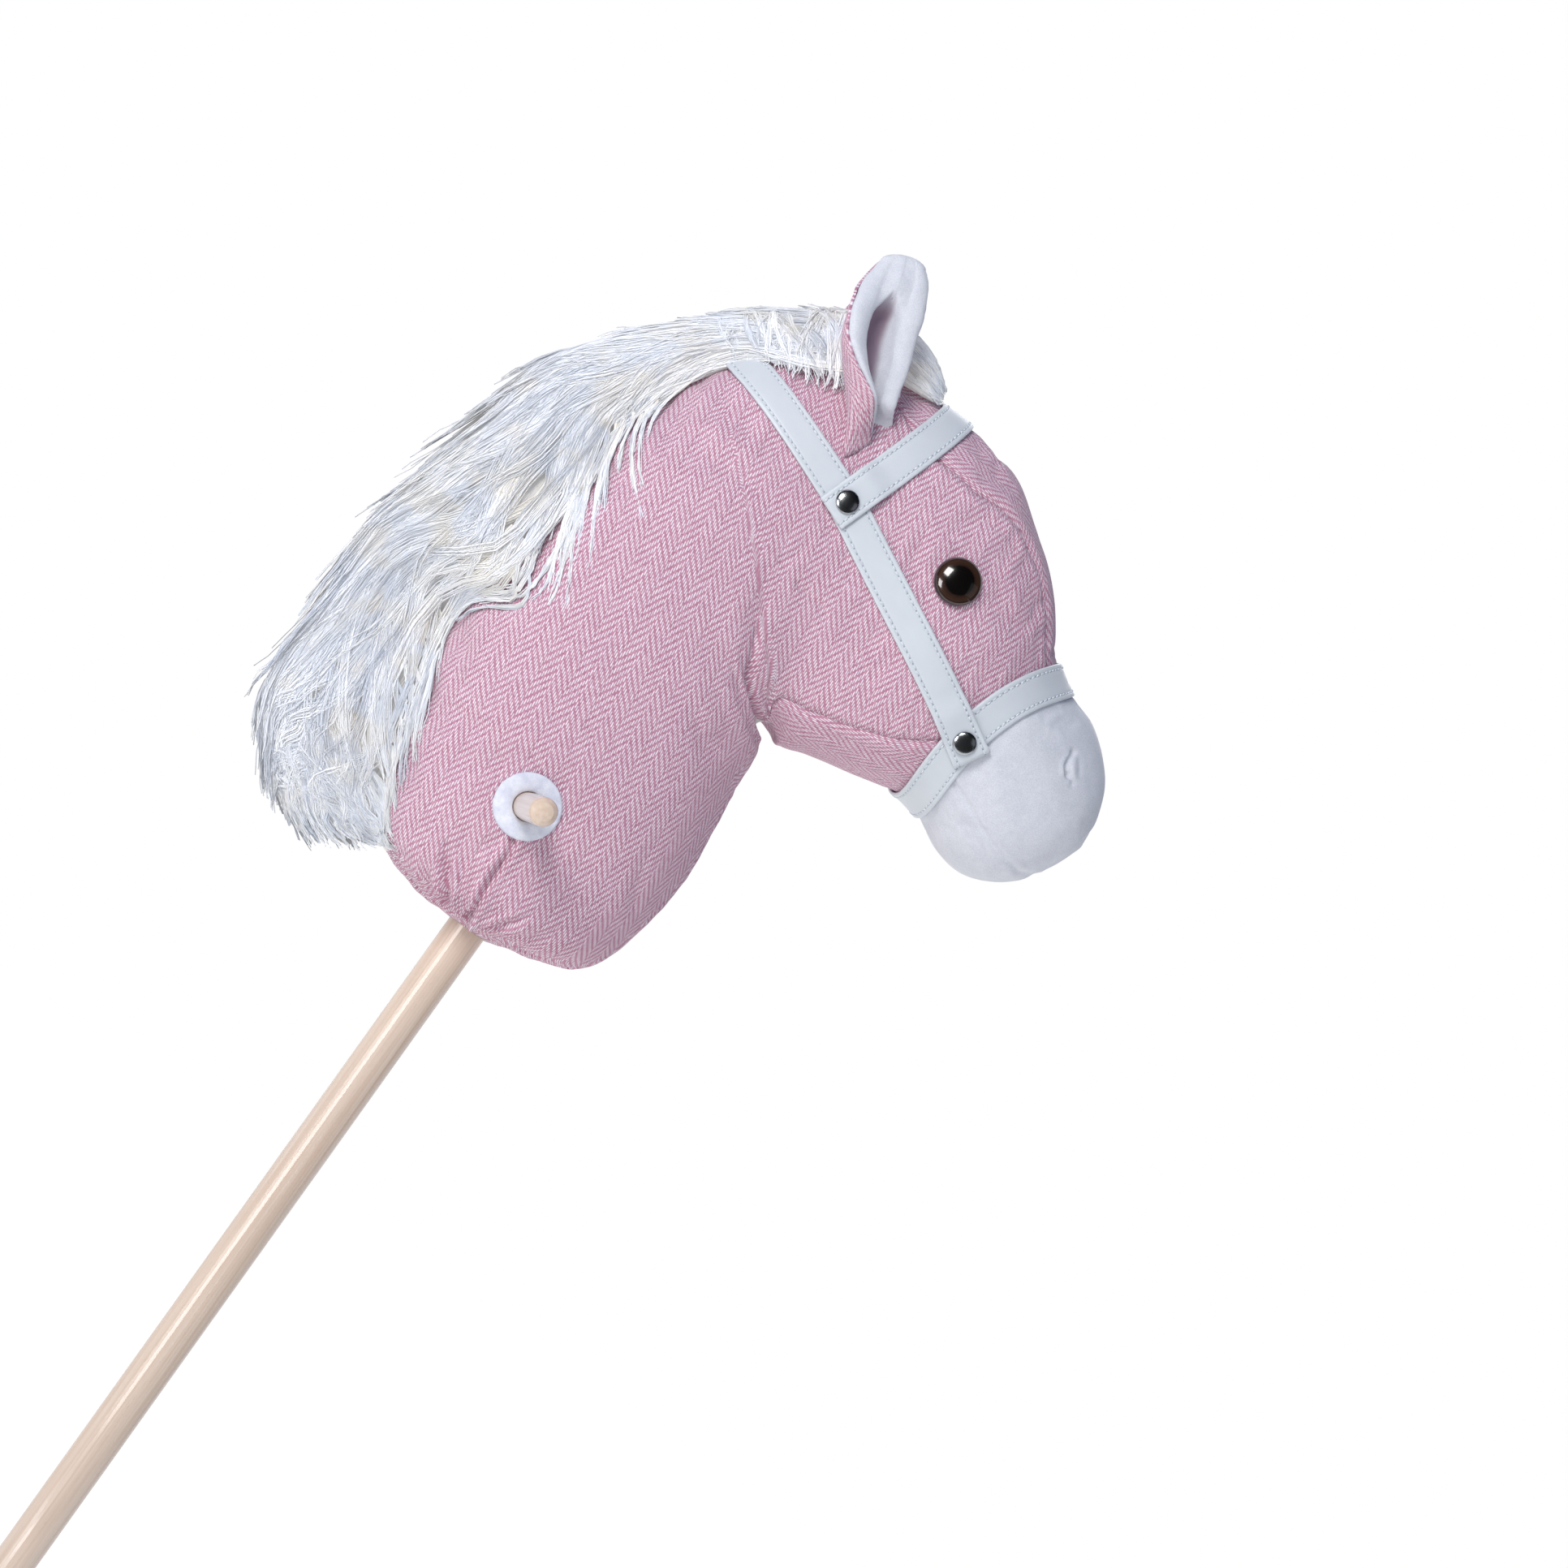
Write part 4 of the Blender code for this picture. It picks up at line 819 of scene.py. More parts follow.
def nostril_rise(points):
    """The pinched nostril: a curved crease, deepest where its stitches
    draw the velour in, with a raised pad in front of it."""
    x = points[..., 0] * 1000 - NOSTRIL_AT[0]
    z = (points[..., 2] - NECK_END) * 1000 - NOSTRIL_AT[1]
    across, along = 0.82 * x + 0.58 * z, 0.82 * z - 0.58 * x
    curve = across + 3.4 - 0.075 * along ** 2
    ends = np.exp(-(along / 7.6) ** 4)
    crease = 1.8 * ends * bell(curve, 1.6)
    welt = 0.8 * ends * bell(curve + 2.6, 1.5)
    pad = 1.1 * np.exp(-((across - 0.4) / 2.4) ** 2 - ((along + 0.5) / 5.2) ** 2)
    front = 0.55 * np.exp(-(along / 5.5) ** 4) * bell(across - 4.4, 1.7)
    stitches = sum(deep * bell(np.hypot(across - right, along - up), 1.7)
                   for right, up, deep in ((-2.8, -4.4, 2.4), (0.6, 8.2, 1.5), (-0.2, -9.0, 1.0)))
    pull = 0.8 * bell(np.hypot(across, along), 13)
    return (welt + pad - crease - front - stitches - pull) / 1000


def muzzle(made):
    """The velour cup over the muzzle, from the noseband to the nose."""
    ribs = np.concatenate([even_ribs(MUZZLE_SEAM, BAG_END, MUZZLE_THREADS),
                           np.linspace(24.45, NOSE, 9)])[:, None]
    angles = math.tau * np.arange(MUZZLE_COLUMNS)[None, :] / MUZZLE_COLUMNS
    ribs, angles = np.broadcast_arrays(ribs, angles)
    base, normals = form(ribs, angles), form_normal(ribs, angles)
    start = np.linalg.norm(base - base[:1], axis=-1)
    lift = SWELL_SHARE * swell(ribs, angles) - seam_depth(base, start) + nostril_rise(base)
    facing = np.clip(0.93 * normals[..., 0] + 0.36 * normals[..., 2], 0, 1) ** 2
    fuller = facing * np.clip(start / 0.02, 0, 1)
    lift = lift - fold_depth(base, [MOUTH]) + NOSE_FULLER * fuller
    lift = lift + ruffle(base, 45, 0.0005)
    rows_out = base + normals * lift[..., None]
    rows_in = base + normals * (lift - CLOTH)[..., None]
    tips = [rows_out[-1].mean(0) + (0.0006, 0, 0), rows_in[-1].mean(0) + (0.0006, 0, 0)]
    piece = closed_sheet("velour_muzzle", rows_out, rows_in, made, ring=True, tips=tips)
    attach(piece, "horse")
    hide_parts("muzzle_cover", "nostril_right", "nostril_left")


muzzle(white_velour("white_cotton_velour"))


# Felt washers
# Discs of thick white wool felt round the handle, cut with a punch. They lie
# on the cloth, and their cut edges are a little furry.

WASHER_PROFILE = [(0.0079, 0.55), (0.0085, 0.95), (0.011, 1), (0.014, 1), (0.0168, 0.97), (0.0176, 0.8),
                  (0.018, 0.45)]
WASHER_EDGE = 0.017
WASHER_INSIDE = 0.0002
WASHER_OUTSIDE = 0.0003
FELT = 0.0026


def pressed_felt():
    """Wool felt has no weave: fine fibres lie matted in every direction."""
    made, tree, surface = start_material("pressed_white_felt", Roughness=1.0, Sheen_Weight=0.6,
                                         Sheen_Roughness=0.6)
    place = object_place(tree)
    fibres = noise_texture(tree, place, 900, 5, 2.5)
    both = maths(tree, "MULTIPLY_ADD", fibres, 0.7, noise_texture(tree, place, 220, 3))
    feed(surface, Base_Color=two_tones(tree, remap(tree, both, 0.62, 1.08), "CFD4E6", "EBEEF8"))
    emboss(surface, both, 0.7, 0.0006)
    return made


def washer(name, node, flip, made):
    """A disc that follows the swell of the neck under it."""
    rows_out, rows_in = [], []
    for radius, height in WASHER_PROFILE:
        row_out, row_in = [], []
        for step in range(120):
            turn = math.tau * step / 120
            if radius > WASHER_EDGE:
                ragged = radius + 0.00018 * noise.noise(Vector((step * 1.7, radius * 900, 0)))
            else:
                ragged = radius
            start = Vector((HANDLE_X + ragged * math.cos(turn), -0.2, HANDLE_Z + ragged * math.sin(turn)))
            spot = head_tree.ray_cast(start, Vector((0, 1, 0)))[0]
            row_in.append((spot.x, flip * (spot.y - WASHER_INSIDE), spot.z))
            row_out.append((spot.x, flip * (spot.y - WASHER_OUTSIDE - FELT * height), spot.z))
        rows_out.append(row_out)
        rows_in.append(row_in)
    piece = closed_sheet(name, rows_out, rows_in, made, ring=True)
    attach(piece, "horse")
    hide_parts(node)


felt = pressed_felt()
washer("washer_right", "felt_washer_right", 1, felt)
washer("washer_left", "felt_washer_left", -1, felt)


# Eyes
# Moulded plastic safety eyes: a clear dome over a brown iris and a black
# pupil. The post goes through the cloth and is held by a lock inside.

EYE_POST_AND_RIM = [(0, -14), (2.4, -14), (3, -13.4), (3, -0.1), (12.5, 0), (13, 0.3), (13.1, 0.8),
                    (13, 1.5)]
EYE_GAP = 0.0003


def eye_plastic():
    """Clear glossy plastic over colour. The dome deepens the brown iris, and
    the pupil is black with a soft edge."""
    made, tree, surface = start_material("moulded_brown_eye", Roughness=0.18, Coat_Weight=1.0,
                                         Coat_Roughness=0.015, IOR=1.49)
    spread = add_node(tree, "ShaderNodeUVMap", uv_map="dome")
    ray_place = add_node(tree, "ShaderNodeMapping", {"Vector": spread, "Scale": (2, 60, 1)})
    wobble = maths(tree, "MULTIPLY_ADD", noise_texture(tree, ray_place, 1), 0.05, parts_of(tree, spread)[0])
    bands = add_node(tree, "ShaderNodeValToRGB", {"Fac": wobble})
    ramp = bands.node.color_ramp
    ramp.elements[0].position, ramp.elements[0].color = 0.60, hex_colour("0B0908")
    ramp.elements[1].position, ramp.elements[1].color = 0.66, hex_colour("2E1E17")
    for position, code in ((0.84, "3E2A21"), (0.95, "2A1C17"), (1.0, "17100E")):
        ramp.elements.new(position).color = hex_colour(code)
    feed(surface, Base_Color=bands)
    return made


def dome(radius, seat, rise, degrees):
    """Profile of a dome from its rim to its top, in steps of so many degrees."""
    turns = [math.radians(turn) for turn in range(degrees, 90, degrees)]
    return [(radius * math.cos(turn), seat + rise * math.sin(turn)) for turn in turns] + [(0, seat + rise)]


def axis_placing(origin, axis):
    """Places a turned shape with its own Z along an axis."""
    z = Vector(axis).normalized()
    x = (Vector((1, 0, 0)) - z.x * z).normalized()
    return Matrix.Translation(origin) @ Matrix((x, z.cross(x), z)).transposed().to_4x4()


def turned(name, profile, placing, flip, made, sides=72):
    """A shape turned about its axis from radius and height in millimetres. Its
    map holds the share of the radius and of the turn."""
    widest = max(radius for radius, _ in profile)
    bm = bmesh.new()
    spread = bm.loops.layers.uv.new("dome")
    rings = []
    for radius, height in profile:
        if radius == 0:
            rings.append([bm.verts.new(placing @ Vector((0, 0, height / 1000)))])
        else:
            rings.append([bm.verts.new(placing @ Vector((radius / 1000 * math.cos(math.tau * step / sides),
                                                         radius / 1000 * math.sin(math.tau * step / sides),
                                                         height / 1000))) for step in range(sides)])
    shares = {}
    for (radius, _), ring in zip(profile, rings):
        for vert in ring:
            shares[vert] = radius / widest
    for low, high in zip(rings, rings[1:]):
        for step in range(sides):
            corners = [low[step % len(low)], low[(step + 1) % len(low)], high[(step + 1) % len(high)],
                       high[step % len(high)]]
            corners = list(dict.fromkeys(corners))
            if len(corners) > 2:
                face = bm.faces.new(corners)
                for loop in face.loops:
                    loop[spread].uv = (shares[loop.vert], step / sides)
    for ring in (rings[0], rings[-1]):
        if len(ring) > 1:
            bm.faces.new(ring)
    if flip < 0:
        bmesh.ops.scale(bm, vec=(1, -1, 1), verts=bm.verts)
    mesh = bpy.data.meshes.new(name)
    bm.to_mesh(mesh)
    bm.free()
    piece = finished(name, mesh, made)
    mesh.set_sharp_from_angle(angle=math.radians(50))
    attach(piece, "horse")
    return piece


eye_spot, eye_axis = side_spot(*EYE_AT)
eye_made = eye_plastic()
eye_placing = axis_placing(eye_spot + eye_axis * EYE_GAP, eye_axis)
for side, flip in (("right", 1), ("left", -1)):
    eye = turned(f"glass_eye_{side}", EYE_POST_AND_RIM + dome(13, 1.5, 6, 4), eye_placing, flip, eye_made)
    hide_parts(f"eye_{side}")


# Bridle
# Three straps of white artificial leather, folded and sewn along both edges,
# and joined to each other and to the head by four domed steel rivets.

STRAP = 0.0018
STRAP_HALF_WIDTH = 0.010
STRAP_FIT = 0.0006
UNDER_STRAP = 0.0009
OVER_STRAP = UNDER_STRAP + STRAP + STRAP_FIT
TAPE = 0.001
STITCH_LENGTH = 0.0026
STITCH_PITCH = 0.0034
STITCH_OFFSET = 0.0071
STITCH_THREAD = 0.0006
STITCH_LIFT = 0.00003
STRAP_STEP = 0.0022
NEAR_RIVET = 0.015
FAR_FROM_RIVET = 0.029


def artificial_leather():
    """Coated cloth: smooth, slightly waxy white with a very fine leather grain. The thread pulls a shallow
    furrow along each edge, with a needle hole at the end of each stitch, which is painted dark as painted
    shade."""
    made, tree, surface = start_material("coated_white_artificial_leather", Roughness=0.45, Coat_Weight=0.1,
                                         Coat_Roughness=0.3, IOR=1.5)
    place = object_place(tree)
    flat = add_node(tree, "ShaderNodeUVMap", uv_map="cloth")
    across, down = parts_of(tree, flat)[:2]
    grain = add_node(tree, "ShaderNodeTexVoronoi", {"Vector": place, "Scale": 1500.0}, out="Distance")
    seam = maths(tree, "SUBTRACT", maths(tree, "ABSOLUTE", across), STITCH_OFFSET)
    seam_gap = maths(tree, "ABSOLUTE", seam)
    furrow = remap(tree, seam_gap, 0.0003, 0.0013, 1.0, 0.0, smooth=True)
    hole_gap = maths(tree, "PINGPONG", down, STITCH_PITCH / 2)
    both = add_node(tree, "ShaderNodeCombineXYZ", {0: seam_gap, 1: hole_gap})
    from_hole = add_node(tree, "ShaderNodeVectorMath", {0: both}, out="Value", operation="LENGTH")
    hole = remap(tree, from_hole, 0.00025, 0.0007, 1.0, 0.0, smooth=True)
    tone = two_tones(tree, noise_texture(tree, place, 60, 3), "CBD1D8", "D5DBE0")
    # Painted shade: each needle hole is painted dark.
    feed(surface, Base_Color=two_tones(tree, maths(tree, "MULTIPLY", hole, 0.75), tone, "7F8B98"))
    sunk = maths(tree, "MULTIPLY_ADD", hole, 1.6, furrow)
    height = maths(tree, "MULTIPLY_ADD", sunk, -1.6, grain)
    emboss(surface, height, 0.3, 0.00012)
    return made


def stitch_thread():
    """Twisted polyester sewing thread, pale blue-grey against the strap."""
    made, tree, surface = start_material("twisted_polyester_thread", Roughness=0.6, Sheen_Weight=0.3)
    twist = noise_texture(tree, object_place(tree), 1800)
    feed(surface, Base_Color=two_tones(tree, twist, "C3CCD6", "DDE3E9"))
    return made


def node_tree(name, sizes):
    """An empty tree of geometry nodes with named inputs, and their sockets."""
    tree = bpy.data.node_groups.new(name, "GeometryNodeTree")
    tree.interface.new_socket("Geometry", in_out="OUTPUT", socket_type="NodeSocketGeometry")
    tree.interface.new_socket("Geometry", in_out="INPUT", socket_type="NodeSocketGeometry")
    ids = {}
    for label, kind in sizes.items():
        socket = tree.interface.new_socket(label, in_out="INPUT", socket_type=f"NodeSocket{kind}")
        ids[label] = socket.identifier
    return tree, tree.nodes.new("NodeGroupInput"), tree.nodes.new("NodeGroupOutput"), ids


def stored(tree, name, data_type="FLOAT_VECTOR"):
    """An attribute that the points already have."""
    return add_node(tree, "GeometryNodeInputNamedAttribute", {"Name": name}, data_type=data_type)


def store(tree, geometry, name, value, data_type, domain):
    """The same geometry, with one more attribute."""
    return add_node(tree, "GeometryNodeStoreNamedAttribute",
                    {"Geometry": geometry, "Name": name, "Value": value},
                    data_type=data_type, domain=domain)


def close_tree(tree, end, geometry, made):
    """Ends a tree with real geometry in its material."""
    whole = add_node(tree, "GeometryNodeRealizeInstances", {0: geometry})
    tree.links.new(add_node(tree, "GeometryNodeSetMaterial", {"Geometry": whole, "Material": made}),
                   end.inputs[0])


def grown(name, seed_mesh, tree, ids, values, made):
    """Runs a tree on a mesh and keeps the result as a piece of its own."""
    piece = placed(name, seed_mesh)
    step = piece.modifiers.new(tree.name, "NODES")
    step.node_group = tree
    for label, value in values.items():
        step[ids[label]] = value
    ready = piece.evaluated_get(bpy.context.evaluated_depsgraph_get())
    mesh = bpy.data.meshes.new_from_object(ready)
    piece.modifiers.remove(step)
    mesh.shade_smooth()
    piece.data = mesh
    mesh.materials.clear()
    mesh.materials.append(made)
    return piece


def stitching_tree(made):
    """A short thread at each point, laid along it and slanted a little."""
    tree, start, end, ids = node_tree("stitching", {"Stitch Length": "Float", "Thread": "Float",
                                                    "Slant": "Float"})
    along = stored(tree, "along")
    out = stored(tree, "out")
    dots = add_node(tree, "GeometryNodeMeshToPoints", {"Mesh": start.outputs[0]})
    thread = add_node(tree, "GeometryNodeMeshUVSphere", {"Segments": 6, "Rings": 5, "Radius": 1.0})
    reach = maths(tree, "MULTIPLY", start.outputs["Stitch Length"], 0.5)
    width = start.outputs["Thread"]
    size = add_node(tree, "ShaderNodeCombineXYZ", {0: width, 1: width, 2: reach})
    shaped = add_node(tree, "GeometryNodeTransform", {"Geometry": thread, "Scale": size})
    lying = add_node(tree, "FunctionNodeAlignRotationToVector", {"Vector": along}, axis="Z")
    facing = add_node(tree, "FunctionNodeAlignRotationToVector", {"Rotation": lying, "Vector": out},
                      axis="X", pivot_axis="Z")
    turned_threads = add_node(tree, "GeometryNodeInstanceOnPoints",
                              {"Points": dots, "Instance": shaped, "Rotation": facing})
    slant = add_node(tree, "ShaderNodeCombineXYZ", {0: start.outputs["Slant"]})
    slanting = add_node(tree, "GeometryNodeRotateInstances", {0: turned_threads, "Rotation": slant})
    close_tree(tree, end, slanting, made)
    return tree, ids


thread_made = stitch_thread()
stitches, stitch_ids = stitching_tree(thread_made)


def even_path(points, spacing):
    """The same path with its points at an even spacing."""
    points = np.array([tuple(point) for point in points])
    length = np.concatenate([[0], np.cumsum(np.linalg.norm(np.diff(points, axis=0), axis=-1))])
    targets = np.linspace(0, length[-1], max(2, round(length[-1] / spacing)) + 1)
    return [Vector([np.interp(target, length, points[:, axis]) for axis in range(3)]) for target in targets]


def mirrored(points):
    """Points of the left side for those of the right side, back to front."""
    return [Vector((point.x, -point.y, point.z)) for point in reversed(points)]


def over_the_top(start, crest):
    """Spots on the right side from a place to the crest, straight in side
    view, and on over the left side."""
    half = []
    for step in range(60):
        share = math.sin(math.pi / 2 * step / 60)
        found = side_spot(start[0] + (crest[0] - start[0]) * share,
                          start[1] + (crest[1] - start[1]) * share)[0]
        if found is not None:
            half.append(found)
    top = head_tree.find_nearest(on_plane(*crest))[0]
    half.append(Vector((top.x, 0, top.z)))
    return half + mirrored(half[:-1])


def eased(distance, near, far):
    """1 up to a near distance, 0 from a far one, smooth between them."""
    share = min(max((distance - near) / (far - near), 0.0), 1.0)
    return 1 - share * share * (3 - 2 * share)


def strap(name, node, path, lift_at, loop, made):
    """A strap with rounded edges along a path. Returns its outer points and
    how far along the strap each row lies."""
    offsets = [-1, -0.985, -0.94, -0.85, -0.77, -0.71, -0.65, -0.5, -0.25, 0,
               0.25, 0.5, 0.65, 0.71, 0.77, 0.85, 0.94, 0.985, 1]
    heights = {1: 0.45, 0.985: 0.78, 0.94: 0.96, 0.85: 1.0, 0.77: 0.97, 0.71: 0.88, 0.65: 0.96}
    count = len(path)
    rows_out, rows_in, flat = [], [], []
    run = 0.0
    for i in range(count + (1 if loop else 0)):
        spot = path[i % count]
        before = path[(i - 1) % count] if loop or i > 0 else spot
        after = path[(i + 1) % count] if loop or i < count - 1 else spot
        ahead = (after - before).normalized()
        found, normal, _, _ = head_tree.find_nearest(spot)
        sideways = normal.cross(ahead).normalized()
        lift = lift_at(spot)
        end_fall = 0.55 if not loop and i in (0, count - 1) else 1.0
        row_out, row_in, row_flat = [], [], []
        for offset in offsets:
            place, up, _, _ = head_tree.find_nearest(found + sideways * STRAP_HALF_WIDTH * offset)
            row_in.append(place + up * lift)
            row_out.append(place + up * (lift + STRAP * heights.get(abs(offset), 1.0) * end_fall))
            row_flat.append((STRAP_HALF_WIDTH * offset, run))
        rows_out.append(row_out)
        rows_in.append(row_in)
        flat.append(row_flat)
        run += (after - before).length / (2 if loop or 0 < i < count - 1 else 1)
    piece = closed_sheet(name, rows_out, rows_in, made, flat)
    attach(piece, "horse")
    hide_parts(node)
    runs = np.array([row[0][1] for row in flat])
    return np.array([[tuple(point) for point in row] for row in rows_out]), runs


def keep_values(mesh, name, kind, values):
    """Keeps a number or a vector for each point of a mesh, under a name."""
    key = "value" if kind == "FLOAT" else "vector"
    mesh.attributes.new(name, kind, "POINT").data.foreach_set(key, np.array(values, np.float32).ravel())


def stitch_mesh(name, rows, runs):
    """Points for the stitches of both seams, half a stitch from each needle
    hole, with the ways they lie and face."""
    spots, along, out = [], [], []
    for column in (5, 13):
        for middle in np.arange(STITCH_PITCH / 2, runs[-1], STITCH_PITCH):
            spot, ahead = [Vector([np.interp(middle + step, runs, rows[:, column, axis])
                                   for axis in range(3)]) for step in (0, 0.001)]
            normal = head_tree.find_nearest(spot)[1]
            spots.append(tuple(spot + normal * STITCH_LIFT))
            along.extend((ahead - spot).normalized())
            out.extend(normal)
    mesh = bpy.data.meshes.new(name)
    mesh.from_pydata(spots, [], [])
    keep_values(mesh, "along", "FLOAT_VECTOR", along)
    keep_values(mesh, "out", "FLOAT_VECTOR", out)
    return mesh


low, high = Vector(LOWER_RIVET_AT), Vector(UPPER_RIVET_AT)
lower_spot, upper_spot = side_spot(*LOWER_RIVET_AT)[0], side_spot(*UPPER_RIVET_AT)[0]
poll_spot = on_plane(*POLL_STRAP_AT)


def headpiece_lift(spot):
    """The headpiece lies over the noseband at its ends and over the mane's
    tape at the poll."""
    right = Vector((spot.x, -abs(spot.y), spot.z))
    over_nose = eased((right - lower_spot).length, NEAR_RIVET, FAR_FROM_RIVET)
    over_tape = eased((spot - poll_spot).length, 0.011, 0.024)
    return UNDER_STRAP + (OVER_STRAP - UNDER_STRAP) * over_nose + (TAPE + STRAP_FIT) * over_tape


def browband_lift(spot):
    """The browband lies over the headpiece at both rivets."""
    right = Vector((spot.x, -abs(spot.y), spot.z))
    over_head = eased((right - upper_spot).length, NEAR_RIVET, FAR_FROM_RIVET)
    return UNDER_STRAP + (OVER_STRAP - UNDER_STRAP) * over_head


leather = artificial_leather()
end = low + (low - high).normalized() * 11
cheek = [side_spot(*end.lerp(high, step / 50))[0] for step in range(50)]
poll = over_the_top(UPPER_RIVET_AT, POLL_STRAP_AT)
headpiece_path = even_path(cheek + poll + mirrored(cheek), STRAP_STEP)
brow_start = high - (Vector(BROW_STRAP_AT) - high).normalized() * 10.5
browband_path = even_path(over_the_top(tuple(brow_start), BROW_STRAP_AT), STRAP_STEP)
noseband_ring = [Vector(form(NOSEBAND_RIB, math.tau * step / 240)) for step in range(241)]
noseband_path = even_path(noseband_ring, STRAP_STEP)[:-1]
straps = (("cheek_strap", "headpiece", headpiece_path, headpiece_lift, False),
          ("brow_strap", "browband", browband_path, browband_lift, False),
          ("nose_strap", "noseband", noseband_path, lambda spot: UNDER_STRAP, True))
for name, node, path, lift_at, loop in straps:
    seams = stitch_mesh(name, *strap(name, node, path, lift_at, loop, leather))
    sizes = {"Stitch Length": STITCH_LENGTH, "Thread": STITCH_THREAD, "Slant": math.radians(9)}
    sewn = grown(f"{name}_stitches", seams, stitches, stitch_ids, sizes, thread_made)
    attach(sewn, "horse")


def polished_steel():
    """Nickel-bright pressed steel with faint turning marks and hairlines."""
    made, tree, surface = start_material("polished_pressed_steel", Metallic=1.0,
                                         Base_Color=hex_colour("B4B8BE"))
    marks = noise_texture(tree, object_place(tree), 2500)
    feed(surface, Roughness=remap(tree, marks, 0, 1, 0.14, 0.3))
    return made


steel = polished_steel()
for level, place in (("upper", UPPER_RIVET_AT), ("lower", LOWER_RIVET_AT)):
    spot, axis = side_spot(*place)
    seat = (OVER_STRAP + STRAP) * 1000 + 0.3
    profile = [(0, -4.7), (1.2, -4.7), (1.6, -4.3), (1.6, seat), (5.9, seat), (6.35, seat + 0.15),
               (6.5, seat + 0.5)] + dome(6.5, seat + 0.5, 2.4, 6)
    placing = axis_placing(spot, axis)
    for side, flip in (("right", 1), ("left", -1)):
        rivet = turned(f"domed_rivet_{level}_{side}", profile, placing, flip, steel, 48)
        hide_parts(f"rivet_{level}_{side}")


# Ears
# Each ear is a leaf of herringbone cotton with a thick padded velour lining
# that is turned over its edge. It is rolled to a trough, folded at its root
# and sewn into the head along a short seam, where it bends.

EAR_LENGTH = 0.105
EAR_CLOTH = 0.0016
EAR_ROOT_AT = (19, 333)
EAR_ROOT_RADIUS = 0.0045
EAR_TIP_AT = (-21, 427)
EAR_TIP_SIDE = 0.034
EAR_FACES = (0.30, -0.95, 0.10)
EAR_SEAM = ((15.4, 318), (28.6, 347))
EAR_ROOT_TURN = math.radians(40)
EAR_TIP_TURN = math.radians(20)
EAR_BENDS = {"right": [(0, -3.7, -2.6), (0.5, -8.1, -5.8), (1, -1, -6)],
             "left": [(0, 0, 0), (0.5, 3, -4), (1, 9, -8)]}
FRONT_LIP = 0.82
BACK_LIP = 0.85
EAR_HALF_WIDTHS = [(0, 9), (0.05, 10), (0.1, 12), (0.2, 15), (0.3, 18), (0.42, 20.5), (0.55, 22),
                   (0.66, 22), (0.77, 20.5), (0.87, 17), (0.94, 13.5), (0.985, 9), (1, 5)]
EAR_OPENINGS = [(0, 150), (0.15, 128), (0.3, 104), (0.5, 88), (0.7, 74), (0.9, 50), (1, 34)]
LINING_RISES = [(0.03, 2.5), (0.07, 5), (0.12, 7.5), (0.18, 9), (0.25, 10), (0.38, 11.5), (0.55, 13),
                (0.75, 13), (0.87, 11.5), (0.95, 9)]
LIP = [(0.0, 0.0), (0.18, 0.03), (0.33, 0.14), (0.42, 0.3), (0.44, 0.5), (0.4, 0.68), (0.3, 0.83),
       (0.15, 0.95), (0, 1.0)]
HOLLOW = [(0.94, 1.0), (0.86, 1.02), (0.77, 1.02), (0.67, 0.99), (0.56, 0.93), (0.45, 0.84), (0.35, 0.72),
          (0.27, 0.52), (0.2, 0.33), (0.12, 0.19), (0.0, 0.11), (-0.12, 0.08), (-0.22, 0.1), (-0.3, 0.2),
          (-0.36, 0.38), (-0.42, 0.58), (-0.49, 0.77), (-0.58, 0.91), (-0.69, 0.99), (-0.81, 1.01),
          (-0.92, 1.0)]
EAR_PINCH = 0.0028
LINING_GAP = 0.0008
LINING_BACK_GAP = 0.0003
LIP_PADDING = 0.0024
LINING_RING = 96
LINING_BACK = 30


def smooth_step(value, low, high):
    """0 below the low value, 1 above the high one, smooth between them."""
    share = np.clip((value - low) / (high - low), 0, 1)
    return share * share * (3 - 2 * share)


def soft_keys(keys, position):
    """Values between key pairs, rounded off at the keys, less so at the tip."""
    reach = 0.04 * np.clip((1 - position) * 5, 0.12, 1)
    return sum(along_keys(keys, position + reach * part) for part in (-1, -0.5, 0, 0.5, 1)) / 5


ear_spot, ear_normal = side_spot(*EAR_ROOT_AT)
ear_hinge = ear_spot + ear_normal * EAR_ROOT_RADIUS
ear_up = (on_plane(*EAR_TIP_AT) + Vector((0, -EAR_TIP_SIDE, 0)) - ear_hinge).normalized()
ear_faces = (Vector(EAR_FACES) - Vector(EAR_FACES).dot(ear_up) * ear_up).normalized()
ear_across = ear_up.cross(ear_faces)
seam_ends = [side_spot(*end)[0] for end in EAR_SEAM]
seam_middle = (seam_ends[0] + seam_ends[1]) / 2 - ear_normal * 0.001


